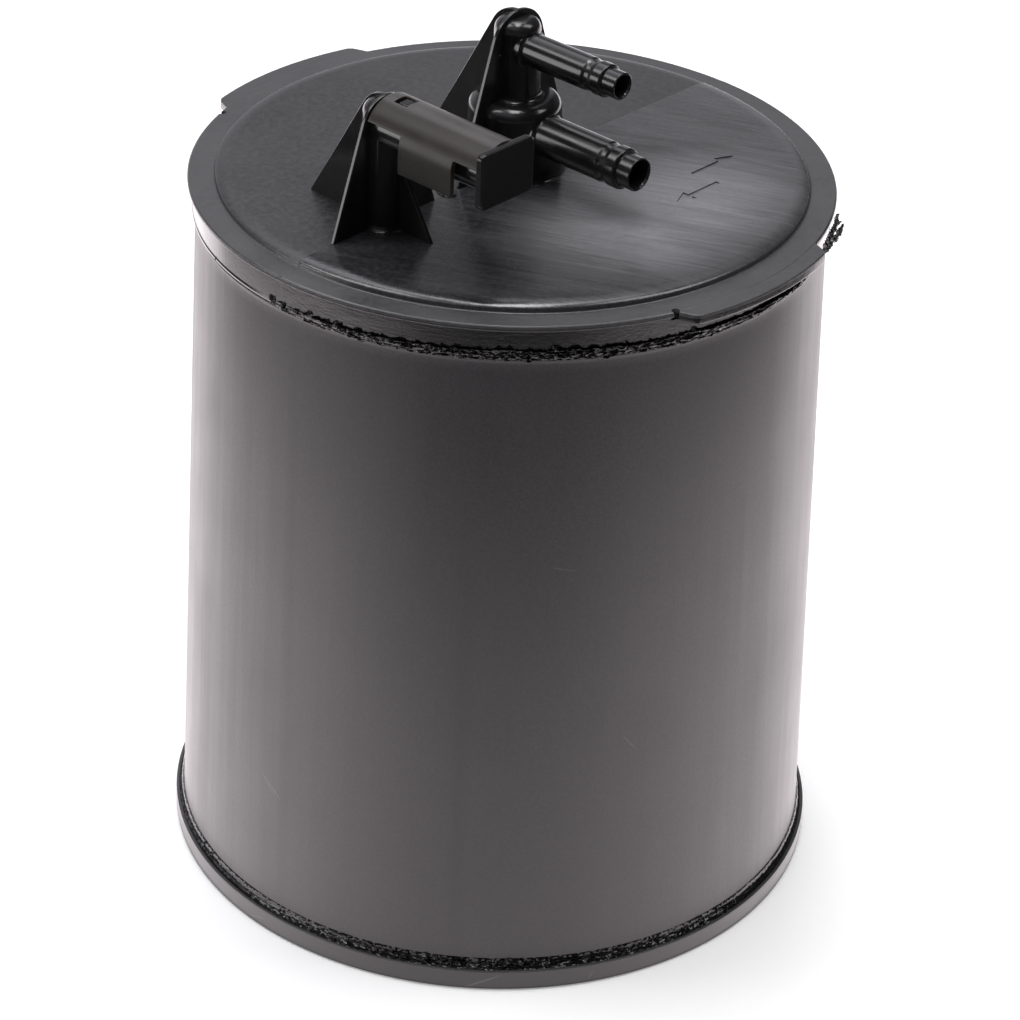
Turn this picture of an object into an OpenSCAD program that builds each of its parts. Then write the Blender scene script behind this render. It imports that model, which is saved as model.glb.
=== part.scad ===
// Evaporative charcoal canister: a welded round can with a domed port cover,
// two hose nipples, a shielded vent port, and a spring-packed charcoal bed
// split in two by a partition wall. Millimetres, +Z up, origin at the middle
// of the underside. The hose nipples point along -Y, the vent stack is on -X.

/* [Can] */
// Outer radius of the can just above the bottom cover
can_r_bottom = 79.25; // [78.5:0.05:80]
// Outer radius of the can at the upper weld
can_r_top = 75.15; // [74.6:0.05:75.5]
// Height of the upper weld line above the underside
weld_z = 172; // [165:1:180]
// Thickness of the can wall
can_wall = 2.6; // [2:0.1:3]
// Middle plane of the partition wall, along X
partition_x = -22; // [-24:0.5:-20]
// Thickness of the partition wall
partition_t = 2.2; // [1.6:0.1:3]

/* [Bottom cover] */
// Radius of the bottom lip
lip_r = 82.1; // [81.5:0.1:84]
// Height of the bottom lip
lip_h = 5.4; // [5:0.1:6.5]
// Top of the bottom cover's floor
floor_z = 3.4; // [3:0.1:4]

/* [Top cover] */
// Outer radius of the rim
rim_r = 77.05; // [76.8:0.05:78]
// Rim height above the upper weld line
rim_h = 8.65; // [8:0.05:10]
// Radius of the raised disc at its foot
disc_r = 70.4; // [69:0.1:71]
// Height of the raised disc above the rim
disc_h = 2.1; // [1.8:0.1:2.6]
// Thickness of the cover plate
cover_t = 3; // [2.6:0.1:3.4]
// Outer radius of the two rim lugs
lug_r = 80.6; // [79:0.1:81]
// Thickness of the rim lugs
lug_t = 2.4; // [2:0.1:3]

/* [Hose nipples] */
// Height of the lower nipple's axis above the raised disc
tank_h = 11.3; // [11:0.1:12]
// Outer radius of the lower nipple
tank_r = 5; // [4.8:0.05:5.1]
// Reach of the lower nipple from the stack axis
tank_len = 39.2; // [38:0.1:42]
// Height of the upper nipple's axis above the raised disc
purge_h = 31.3; // [31:0.1:33]
// Outer radius of the upper nipple
purge_r = 4; // [3.9:0.05:4.2]
// Reach of the upper nipple from the stack axis
purge_len = 32.8; // [32:0.1:36]
// Thickness of the stiffening ribs on the stacks
rib_t = 1.7; // [1.4:0.1:2.2]

/* [Vent port] */
// Place of the vent stack along X
vent_x = -43.5; // [-46:0.5:-42]
// Height of the vent tube's axis above the raised disc
vent_h = 24.6; // [24:0.1:26]
// Outer radius of the vent tube
vent_r = 5; // [4.6:0.1:5.2]
// Reach of the vent tube from its stack axis
vent_len = 34; // [33:0.1:34.6]
// Outer radius of the vent cap's arch
cap_r = 8.2; // [8:0.1:8.6]
// Wall of the vent cap
cap_wall = 1.3; // [1.1:0.1:1.5]

/* [Filling] */
// Underside of the retainer plates at rest
plate_z = 20.5; // [20:0.5:24]
// Thickness of the retainer plates
plate_t = 2.5; // [2:0.1:3]
// Thickness of each filter pad
pad_t = 4; // [3:0.5:5]
// Wire diameter of the springs
wire_d = 1.6; // [1.2:0.1:1.8]
// Mean radius of the spring coils
coil_r = 8.2; // [8:0.1:9]

/* [Hidden] */
$fn = 96;

rim_z = weld_z + rim_h;          // top of the rim
lid_z = rim_z + disc_h;          // top of the raised disc
under_z = lid_z - cover_t;       // underside of the cover plate, inside
seam_z = weld_z + 4;             // weld between partition and cover rib
pad_top_z = weld_z;              // top of the upper filters
bed_top_z = pad_top_z - pad_t;
bed_low_z = plate_z + plate_t + pad_t;
gap = 0.4;                       // running room round the sliding pieces
snug = 0.15;                     // room round the pieces that lie still
wall_lo = partition_x - partition_t / 2;
wall_hi = partition_x + partition_t / 2;
tank_springs = [[4, -42], [4, 42], [52, 0]];
vent_springs = [[-47, -30], [-47, 30]];

shell_black = [0.16, 0.16, 0.17];
cover_black = [0.13, 0.13, 0.14];
cap_grey = [0.24, 0.24, 0.24];
foam_grey = [0.32, 0.32, 0.31];
carbon = [0.07, 0.07, 0.07];
plate_white = [0.80, 0.79, 0.74];
steel = [0.70, 0.71, 0.73];

// outer and inner radius of the can at a height
function can_r(z) = can_r_bottom + (can_r_top - can_r_bottom) * (z - lip_h) / (weld_z - lip_h);
function in_r(z) = can_r(z) - can_wall;
// points of an arc
function arc(c, r, a0, a1, n = 8) = [for (i = [0:n]) c + r * [cos(a0 + (a1 - a0) * i / n), sin(a0 + (a1 - a0) * i / n)]];
// tangent point on a circle, seen from an outside point
function touch(p, c, r, side) = let (d = norm(p - c), a = acos(r / d), b = atan2(p[1] - c[1], p[0] - c[0])) c + r * [cos(b + side * a), sin(b + side * a)];

// ---------- can ----------
module canister_body() color(shell_black) {
  rotate_extrude($fn = 180) polygon(concat(
    [[in_r(lip_h), lip_h], [can_r(lip_h) + 0.2, lip_h]],
    arc([can_r(lip_h) + 0.1, lip_h + 0.9], 0.8, -60, 60, 5),
    [[can_r(lip_h + 2.2), lip_h + 2.2], [can_r(weld_z - 1.6), weld_z - 1.6]],
    arc([can_r_top - 0.05, weld_z - 0.8], 0.6, -60, 60, 5),
    [[can_r_top + 0.2, weld_z], [in_r(weld_z), weld_z]]));
  // partition wall, open below so that vapour turns round under it
  intersection() {
    translate([wall_lo, -90, 12]) cube([partition_t, 180, seam_z - 12]);
    union() {
      cylinder(r = in_r(weld_z) - snug, h = seam_z);
      translate([0, 0, lip_h]) cylinder(r1 = in_r(lip_h) + 1, r2 = in_r(weld_z) + 1, h = weld_z - lip_h);
    }
  }
}

// ---------- top cover ----------
module cover_shell() rotate_extrude($fn = 180) polygon(concat(
  [[in_r(weld_z), weld_z], [can_r_top + 0.5, weld_z], [rim_r - 0.2, rim_z - 1.9]],
  [[rim_r, rim_z - 0.9], [rim_r - 0.12, rim_z - 0.35], [rim_r - 0.45, rim_z]],
  [[disc_r + 0.5, rim_z], [disc_r + 0.12, rim_z + 0.14], [disc_r - 0.05, rim_z + 0.5]],
  arc([disc_r - 1.75, lid_z - 1.5], 1.5, 8, 90, 7),
  [[0, lid_z], [0, under_z], [66.5, under_z], [67.5, under_z - 2], [in_r(weld_z), under_z - 2]]));

// a round post with a shouldered collar below and a rounded crown
module tall_post() rotate_extrude() polygon(concat(
  [[0, -0.5], [13.3, -0.5], [13.3, 0]],
  arc([13.3, 1.6], 1.6, 270, 184, 5),
  arc([7.9, 15.5], 3.2, 0, 86, 7),
  arc([7, 19.8], 1.1, 270, 182, 5),
  arc([2.5, 35.1], 3, 2, 90, 7),
  [[0, 38.1]]));
module vent_post() rotate_extrude() polygon(concat(
  [[0, -0.5], [6.9, -0.5], [6.9, 0]],
  arc([6.9, 1.5], 1.5, 270, 184, 5),
  arc([2.2, 27.8], 3, 2, 90, 7),
  [[0, 30.8]]));
// hose nipple along +Z with a root flare, a neck, a bead and a stepped nose
module nipple(r, len, root, nose) rotate_extrude() polygon(concat(
  [[0, 0], [r + 1.4, 0], [r + 1.4, root]],
  arc([r + 1.4, root + 1.4], 1.4, 270, 182, 5),
  [[r, root + 1.4], [r, len - 9.6], [r - 0.26, len - 8.8], [r - 0.26, len - 7.7], [r, len - 6.7], [r, len - 4.4]],
  arc([r - 0.6, len - 4.4], 0.6, 0, 80, 4),
  [[nose, len - 3.7], [nose - 0.04, len - 0.35], [nose - 0.35, len], [0, len]]));
// rib outline: a round head with straight legs down to feet
module rib_face(h, r, left, right) {
  translate([0, h]) circle(r = r);
  polygon([[left, -0.5], [left, 0], touch([left, 0], [0, h], r, -1), [0, h], touch([right, 0], [0, h], r, 1), [right, 0], [right, -0.5]]);
}
module rib_x(h, r, left, right) rotate([90, 0, 0]) translate([0, 0, -rib_t / 2]) linear_extrude(rib_t) rib_face(h, r, left, right);
// half rib towards +Y
module rib_y(h, r, foot) rotate([90, 0, 90]) translate([0, 0, -rib_t / 2]) linear_extrude(rib_t) intersection() {
  rib_face(h, r, -1, foot);
  translate([0, -0.5]) square([foot + 1, h + r + 1]);
}
// one rim lug on +Y
module lug() intersection() {
  translate([0, 0, rim_z - lug_t]) cylinder(r = lug_r, h = lug_t - 0.02, $fn = 180);
  translate([0, 0, rim_z - 5]) linear_extrude(8) polygon([[-24.6, 60], [-24.6, 72.2], [-22.9, 76.6], [-21.4, 90], [21.4, 90], [22.9, 76.6], [24.6, 72.2], [24.6, 60]]);
  difference() {
    cylinder(r = 100, h = rim_z + 1);
    translate([0, 0, -1]) cylinder(r = 75, h = rim_z + 3);
  }
}
module top_cover() color(cover_black) difference() {
  union() {
    cover_shell();
    lug();
    mirror([0, 1, 0]) lug();
    translate([0, 0, lid_z]) {
      tall_post();
      rib_x(purge_h, 8.6, -19, 19);
      rib_y(purge_h, 8.6, 27.6);
      translate([0, 0, tank_h]) rotate([90, 0, 0]) nipple(tank_r, tank_len, 10.4, 4.05);
      translate([0, 0, purge_h]) rotate([90, 0, 0]) nipple(purge_r, purge_len, 4.6, 3.27);
      translate([vent_x, 0, 0]) {
        vent_post();
        rib_x(vent_h, 7.5, -16.5, 16.5);
        rib_y(vent_h, 7.5, 23.4);
        // gusset under the vent tube
        rotate([90, 0, 90]) translate([0, 0, -rib_t / 2]) linear_extrude(rib_t)
          polygon([[-15.5, -0.5], [-15.5, 0], [-5, 17.4], [0, 17.4], [0, -0.5]]);
        translate([0, 0, vent_h]) rotate([90, 0, 0]) cylinder(r = vent_r, h = vent_len);
        // catch that the vent cap snaps over
        translate([-1.5, -8, vent_h + 3]) cube([3, 2.6, cap_r - 3.5]);
      }
    }
    // rib that is welded to the partition wall
    intersection() {
      translate([wall_lo, -90, seam_z]) cube([partition_t, 180, under_z - seam_z + 0.5]);
      cylinder(r = in_r(weld_z) + 0.5, h = lid_z - 1);
    }
    // pegs that hold the upper filters down
    for (p = [[30, 40], [30, -40], [52, 0], [-4, 0], [-52, 26], [-52, -26]])
      translate([p[0], p[1], pad_top_z]) cylinder(r = 2.5, h = under_z - pad_top_z + 0.5);
    // inner tube of the upper nipple
    translate([0, 0, under_z - 2]) cylinder(r = 5.2, h = lid_z + 18 - under_z);
  }
  // collar chamber round the inner tube, and the lower nipple's bore into it
  difference() {
    translate([0, 0, under_z - 0.01]) cylinder(r = 8.8, h = lid_z + 16 - under_z);
    translate([0, 0, under_z - 1]) cylinder(r = 5.2, h = 40);
  }
  translate([0, -7, lid_z + tank_h]) rotate([90, 0, 0]) cylinder(r = 3.4, h = 40);
  // upper nipple's bore and its drop to the bed
  translate([0, 0, under_z - 3]) cylinder(r = 3.4, h = lid_z + purge_h + 2 - under_z + 3);
  translate([0, 0, lid_z + purge_h]) rotate([90, 0, 0]) cylinder(r = 2.6, h = 40);
  // vent bore and its drop to the bed
  translate([vent_x, 0, under_z - 1]) cylinder(r = 3.6, h = lid_z + vent_h + 2 - under_z + 1);
  translate([vent_x, 0, lid_z + vent_h]) rotate([90, 0, 0]) cylinder(r = 3.6, h = 40);
  // small notch at one end of each lug
  for (a = [111, -108.6]) rotate([0, 0, a]) translate([76.3, 0, rim_z - 2.4]) cylinder(r = 0.9, h = 4);
}

// ---------- bottom cover ----------
module bottom_cover() color(shell_black) {
  rotate_extrude($fn = 180) polygon([[0, 1], [64, 1], [65, 0], [lip_r - 0.5, 0], [lip_r, 0.5],
    [lip_r, lip_h - 0.5], [lip_r - 0.5, lip_h], [76.3, lip_h], [76.2, lip_h + 3], [74.2, lip_h + 3], [74, lip_h],
    [71, lip_h], [70, floor_z], [0, floor_z]]);
  // stiffening ribs and gate pad on the underside
  for (a = [0:45:315]) rotate([0, 0, a]) translate([8, -1, 0.25]) cube([56.5, 2, 1]);
  translate([0, 0, 0.25]) cylinder(r = 9, h = 1);
  // spring seats
  for (p = concat(tank_springs, vent_springs)) translate([p[0], p[1], floor_z - 0.5]) cylinder(r = coil_r - wire_d / 2 - 0.6, h = 4.5);
}

// ---------- vent cap ----------
module cap_face(r) {
  translate([0, vent_h]) intersection() {
    circle(r = r);
    translate([-20, 0]) square([40, 20]);
  }
  translate([-r, 19.1]) square([2 * r, vent_h - 19.1 + 0.01]);
}
module round_rect(w, h, r) {
  translate([r, 0]) square([w - 2 * r, h]);
  translate([0, r]) square([w, h - 2 * r]);
  for (x = [r, w - r], y = [r, h - r]) translate([x, y]) circle(r = r, $fn = 48);
}
module vent_cap() color(cap_grey) translate([vent_x, 0, lid_z]) difference() {
  union() {
    // arched sleeve over the vent tube
    rotate([90, 0, 0]) translate([0, 0, 1.6]) linear_extrude(34.8) difference() {
      cap_face(cap_r);
      translate([0, -0.5]) cap_face(cap_r - cap_wall);
      translate([-cap_r + cap_wall, 15]) square([2 * (cap_r - cap_wall), vent_h - 15.5]);
    }
    // inner ribs that sit on the tube
    for (a = [0, 90, 180]) rotate([90, 0, 0]) translate([0, 0, 13]) linear_extrude(14)
      translate([0, vent_h]) rotate([0, 0, a]) translate([vent_r - 0.5, -0.6]) square([cap_r - vent_r - 0.3, 1.2]);
    // end plate that closes the sleeve
    rotate([90, 0, 0]) translate([-8.4, 18.9, 36.2]) linear_extrude(1.8) round_rect(16.8, 13.5, 1.5);
  }
  // room for the vent tube
  rotate([90, 0, 0]) translate([0, vent_h, 0]) cylinder(r = vent_r + 0.05, h = vent_len + 0.6);
  // stepped cut-outs beside the stack, and the windows by the end plate
  for (s = [0, 1]) mirror([s, 0, 0]) {
    translate([-cap_r - 1, -12, 15]) cube([4.5, 11, 13.2]);
    translate([-cap_r - 1, -36.2, 15]) cube([4.5, 7.8, 12.8]);
  }
  // slot for the catch
  translate([-2.1, -8.6, vent_h + 3]) cube([4.2, 3.8, 10]);
}

// ---------- filling ----------
module chamber(side, z1, z2, room) intersection() {
  translate([0, 0, z1]) cylinder(r1 = in_r(z1) - room, r2 = in_r(z2) - room, h = z2 - z1, $fn = 180);
  if (side > 0) translate([wall_hi + room, -100, z1 - 1]) cube([200, 200, z2 - z1 + 2]);
  else translate([wall_lo - room - 200, -100, z1 - 1]) cube([200, 200, z2 - z1 + 2]);
}
module tank_side_top_filter() color(foam_grey) chamber(1, bed_top_z, pad_top_z, snug);
module vent_side_top_filter() color(foam_grey) chamber(-1, bed_top_z, pad_top_z, snug);
module tank_side_charcoal_bed() color(carbon) chamber(1, bed_low_z, bed_top_z, snug);
module vent_side_charcoal_bed() color(carbon) chamber(-1, bed_low_z, bed_top_z, snug);
// the sliding pieces keep to the smallest section on their way
module slide_slab(side, z, t) intersection() {
  translate([0, 0, z]) cylinder(r = in_r(bed_low_z) - gap, h = t, $fn = 180);
  if (side > 0) translate([wall_hi + gap, -100, z - 1]) cube([200, 200, t + 2]);
  else translate([wall_lo - gap - 200, -100, z - 1]) cube([200, 200, t + 2]);
}
module tank_side_bottom_filter() color(foam_grey) slide_slab(1, plate_z + plate_t, pad_t);
module vent_side_bottom_filter() color(foam_grey) slide_slab(-1, plate_z + plate_t, pad_t);
// grille plate with spring seats below
module retainer(side, springs) difference() {
  union() {
    slide_slab(side, plate_z, plate_t);
    for (p = springs) translate([p[0], p[1], plate_z - 3]) cylinder(r = coil_r - wire_d / 2 - 0.6, h = 3.5);
  }
  for (i = [-6:6], j = [-6:6]) let (x = i * 12 + 2, y = j * 12)
    if (norm([x, y]) < 65 && (side > 0 ? x > wall_hi + 8 : x < wall_lo - 8) && min([for (p = springs) norm([x, y] - p)]) > 15)
      translate([x - 4, y - 4, plate_z - 1]) cube([8, 8, plate_t + 2]);
}
module tank_side_retainer_plate() color(plate_white) retainer(1, tank_springs);
module vent_side_retainer_plate() color(plate_white) retainer(-1, vent_springs);

// ---------- springs ----------
coil_turns = 5;
coil_lo = floor_z + 0.05;
coil_hi = plate_z - 0.05;
end_rise = wire_d * 1.06;
coil_rise = coil_hi - coil_lo - wire_d;
mid_rise = (coil_rise - 2 * end_rise) / (coil_turns - 2);
function coil_z(t) = coil_lo + wire_d / 2 + (t < 1 ? t * end_rise : t > coil_turns - 1 ? coil_rise - (coil_turns - t) * end_rise : end_rise + (t - 1) * mid_rise);
module coil(p) {
  sides = 8;
  steps = coil_turns * 14;
  pts = [for (i = [0:steps]) let (t = i * coil_turns / steps, a = 360 * t) for (j = [0:sides - 1]) let (f = 360 * j / sides, r = coil_r + wire_d / 2 * cos(f))
    [r * cos(a), r * sin(a), coil_z(t) + wire_d / 2 * sin(f)]];
  faces = concat([[for (j = [sides - 1:-1:0]) j]], [[for (j = [0:sides - 1]) steps * sides + j]],
    [for (i = [0:steps - 1], j = [0:sides - 1]) let (k = (j + 1) % sides) [i * sides + j, i * sides + k, (i + 1) * sides + k, (i + 1) * sides + j]]);
  translate([p[0], p[1], 0]) polyhedron(pts, faces);
}
module tank_spring_front() color(steel) coil(tank_springs[0]);
module tank_spring_rear() color(steel) coil(tank_springs[1]);
module tank_spring_right() color(steel) coil(tank_springs[2]);
module vent_spring_front() color(steel) coil(vent_springs[0]);
module vent_spring_rear() color(steel) coil(vent_springs[1]);

canister_body();
top_cover();
bottom_cover();
vent_cap();
tank_side_top_filter();
vent_side_top_filter();
tank_side_charcoal_bed();
vent_side_charcoal_bed();
tank_side_bottom_filter();
vent_side_bottom_filter();
tank_side_retainer_plate();
vent_side_retainer_plate();
tank_spring_front();
tank_spring_rear();
tank_spring_right();
vent_spring_front();
vent_spring_rear();
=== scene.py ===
import math

import bmesh
import bpy
import numpy as np
from mathutils import Matrix, Vector


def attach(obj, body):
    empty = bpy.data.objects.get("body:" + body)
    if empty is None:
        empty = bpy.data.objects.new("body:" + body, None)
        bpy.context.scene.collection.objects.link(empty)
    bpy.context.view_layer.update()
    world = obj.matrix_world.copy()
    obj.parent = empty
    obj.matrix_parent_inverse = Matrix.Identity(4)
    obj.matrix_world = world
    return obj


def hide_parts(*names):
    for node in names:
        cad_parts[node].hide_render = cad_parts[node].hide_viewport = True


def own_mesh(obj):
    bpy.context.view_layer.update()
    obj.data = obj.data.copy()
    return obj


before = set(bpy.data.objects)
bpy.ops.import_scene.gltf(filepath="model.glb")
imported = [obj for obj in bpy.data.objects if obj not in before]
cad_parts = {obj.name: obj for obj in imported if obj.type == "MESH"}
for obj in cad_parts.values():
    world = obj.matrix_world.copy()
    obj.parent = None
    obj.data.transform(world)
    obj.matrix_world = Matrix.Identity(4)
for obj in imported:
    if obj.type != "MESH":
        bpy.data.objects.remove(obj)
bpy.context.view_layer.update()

MM = 0.001
LID = 182.75          # top of the raised disc
RIM = 180.65          # top of the rim
VX = -43.5            # vent stack along X
AZ, EL, ROLL = -47.88, 31.033, 2.117
rng = np.random.default_rng(20417)


# ------------------------------------------------------------------ helpers
def arc(cx, cz, r, a0, a1, n):
    return [(cx + r * math.cos(math.radians(a0 + (a1 - a0) * i / n)), cz + r * math.sin(math.radians(a0 + (a1 - a0) * i / n))) for i in range(n + 1)]


def rounded(points, radii, n=5, closed=False):
    """A polyline whose corners are replaced by arcs of the given radii."""
    out = []
    count = len(points)
    for i, (p, r) in enumerate(zip(points, radii)):
        if r <= 0 or (not closed and i in (0, count - 1)):
            out.append(tuple(p))
            continue
        p0, p1, p2 = (np.array(points[(i + k) % count], float) for k in (-1, 0, 1))
        a, b = p0 - p1, p2 - p1
        la, lb = np.linalg.norm(a), np.linalg.norm(b)
        a, b = a / la, b / lb
        half = math.acos(max(-1, min(1, float(a @ b)))) / 2
        if half > math.pi / 2 - 0.01:
            out.append(tuple(p))
            continue
        t = min(r / math.tan(half), 0.49 * la, 0.49 * lb)
        rr = t * math.tan(half)
        s, e = p1 + a * t, p1 + b * t
        m = a + b
        c = p1 + m / np.linalg.norm(m) * (rr / math.sin(half))
        a0 = math.atan2(s[1] - c[1], s[0] - c[0])
        a1 = math.atan2(e[1] - c[1], e[0] - c[0])
        d = (a1 - a0 + math.pi) % (2 * math.pi) - math.pi
        out += [(c[0] + rr * math.cos(a0 + d * k / n), c[1] + rr * math.sin(a0 + d * k / n)) for k in range(n + 1)]
    return out


def split_long(profile, step):
    """Adds points so that no stretch of a profile is longer than step."""
    out = [profile[0]]
    for p, q in zip(profile, profile[1:]):
        k = max(1, int(math.ceil(math.hypot(q[0] - p[0], q[1] - p[1]) / step)))
        out += [(p[0] + (q[0] - p[0]) * i / k, p[1] + (q[1] - p[1]) * i / k) for i in range(1, k + 1)]
    return out


def lathe(profile, angles, loop=False):
    """Turns a profile of (r, z) about Z. loop joins its last point to its first. Points on the axis become poles."""
    verts, faces, rows = [], [], []
    n = len(angles)
    for r, z in profile:
        if r < 1e-6:
            rows.append([len(verts)] * n)
            verts.append((0.0, 0.0, z))
        else:
            rows.append(list(range(len(verts), len(verts) + n)))
            verts += [(r * math.cos(a), r * math.sin(a), z) for a in angles]
    pairs = list(zip(rows, rows[1:])) + ([(rows[-1], rows[0])] if loop else [])
    for lo, hi in pairs:
        for i in range(n):
            j = (i + 1) % n
            f = []
            for v in (lo[i], lo[j], hi[j], hi[i]):
                if v not in f:
                    f.append(v)
            if len(f) > 2:
                faces.append(tuple(f))
    return verts, faces


def ring(n):
    return [2 * math.pi * i / n for i in range(n)]


def build(name, verts, faces, place=None):
    """A mesh object from points in millimetres, with its normals turned outwards."""
    me = bpy.data.meshes.new(name)
    pts = np.array(verts, float)
    if place is not None:
        m = np.array(place, float)
        pts = pts @ m[:3, :3].T + m[:3, 3]
    me.from_pydata((pts * MM).tolist(), [], faces)
    bm = bmesh.new()
    bm.from_mesh(me)
    bmesh.ops.remove_doubles(bm, verts=bm.verts, dist=1e-7)
    bmesh.ops.recalc_face_normals(bm, faces=bm.faces)
    bm.to_mesh(me)
    bm.free()
    ob = bpy.data.objects.new(name, me)
    bpy.context.scene.collection.objects.link(ob)
    return ob


def slab(name, outline, z0, z1, edge=0.35, segs=3, place=None):
    """An outline of (x, y) raised from z0 to z1, with rounded long edges."""
    bm = bmesh.new()
    low = [bm.verts.new((x, y, z0)) for x, y in outline]
    top = [bm.verts.new((x, y, z1)) for x, y in outline]
    bm.faces.new(list(reversed(low)))
    bm.faces.new(top)
    n = len(outline)
    for i in range(n):
        j = (i + 1) % n
        bm.faces.new((low[i], low[j], top[j], top[i]))
    bmesh.ops.recalc_face_normals(bm, faces=bm.faces)
    if edge > 0:
        ends = set(low) | set(top)
        edges = [e for e in bm.edges if (e.verts[0] in low and e.verts[1] in low) or (e.verts[0] in top and e.verts[1] in top)]
        bmesh.ops.bevel(bm, geom=edges, offset=edge, offset_type="OFFSET", segments=segs, profile=0.5, affect="EDGES", clamp_overlap=True)
    verts = [tuple(v.co) for v in bm.verts]
    bm.verts.index_update()
    faces = [tuple(v.index for v in f.verts) for f in bm.faces]
    bm.free()
    return build(name, verts, faces, place)


def evaluated(ob):
    dg = bpy.context.evaluated_depsgraph_get()
    return bpy.data.meshes.new_from_object(ob.evaluated_get(dg), depsgraph=dg)


def settle(ob):
    """Applies a piece's modifiers to its mesh."""
    me = evaluated(ob)
    old = ob.data
    ob.modifiers.clear()
    ob.data = me
    bpy.data.meshes.remove(old)
    return ob


def combine(base, others, operation="UNION"):
    """Joins solids into one skin, or cuts them from it."""
    for o in others:
        m = base.modifiers.new("b", "BOOLEAN")
        m.operation = operation
        m.object = o
        m.solver = "MANIFOLD"
        settle(base)
        me = o.data
        bpy.data.objects.remove(o)
        bpy.data.meshes.remove(me)
    return base


def finish_mesh(ob, angle=32):
    """Smooth shading with crisp edges, and normals weighted by face area so that flats stay flat."""
    bm = bmesh.new()
    bm.from_mesh(ob.data)
    bmesh.ops.remove_doubles(bm, verts=bm.verts, dist=2e-6)
    bmesh.ops.dissolve_degenerate(bm, edges=bm.edges, dist=1e-6)
    bmesh.ops.recalc_face_normals(bm, faces=bm.faces)
    bm.to_mesh(ob.data)
    bm.free()
    ob.data.shade_smooth()
    ob.data.set_sharp_from_angle(angle=math.radians(angle))
    w = ob.modifiers.new("normals", "WEIGHTED_NORMAL")
    w.keep_sharp = True
    w.weight = 60
    return ob


def periodic(n_cells, seed):
    """Smooth noise round a circle, from -1 to 1, as a function of turns."""
    vals = np.random.default_rng(seed).uniform(-1, 1, n_cells)

    def f(t):
        u = (np.asarray(t) % 1.0) * n_cells
        i = np.floor(u).astype(int)
        w = u - i
        w = w * w * (3 - 2 * w)
        return vals[i % n_cells] * (1 - w) + vals[(i + 1) % n_cells] * w
    return f


def sheet_noise(nu, nv, seed):
    """Smooth noise on a band that closes round, from -1 to 1, as a function of turns and height share."""
    vals = np.random.default_rng(seed).uniform(-1, 1, (nu, nv + 2))

    def f(t, s):
        u = (np.asarray(t) % 1.0) * nu
        v = np.clip(np.asarray(s), 0, 1) * nv
        i, j = np.floor(u).astype(int), np.minimum(np.floor(v).astype(int), nv)
        a, b = u - i, v - j
        a, b = a * a * (3 - 2 * a), b * b * (3 - 2 * b)
        i0, i1 = i % nu, (i + 1) % nu
        return (vals[i0, j] * (1 - a) + vals[i1, j] * a) * (1 - b) + (vals[i0, j + 1] * (1 - a) + vals[i1, j + 1] * a) * b
    return f


def bump_between(x, lo, hi, soft):
    """1 inside lo..hi, fading to 0 over soft outside."""
    return np.clip((x - lo) / soft + 1, 0, 1) * np.clip((hi - x) / soft + 1, 0, 1)


# ------------------------------------------------------------------ camera
cam_data = bpy.data.cameras.new("cam")
cam = bpy.data.objects.new("cam", cam_data)
bpy.context.scene.collection.objects.link(cam)
a, e = math.radians(AZ), math.radians(EL)
back = Vector((math.sin(a) * math.cos(e), -math.cos(a) * math.cos(e), math.sin(e)))
side = Vector((math.cos(a), math.sin(a), 0))
toward = Vector((math.sin(a), -math.cos(a), 0))
cam.rotation_mode = "QUATERNION"
cam.location = Vector((0, 0, 0.09032)) + back * 0.924
cam.rotation_quaternion = (-back).to_track_quat("-Z", "Y") @ Matrix.Rotation(math.radians(ROLL), 4, "Z").to_quaternion()
cam_data.sensor_width = 36
cam_data.lens = 3699.2 * 36 / 1020
cam_data.shift_x = (510 - 500.46) / 1020
cam_data.shift_y = (498.73 - 510) / 1020
cam_data.clip_start, cam_data.clip_end = 0.05, 20
bpy.context.scene.camera = cam


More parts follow.
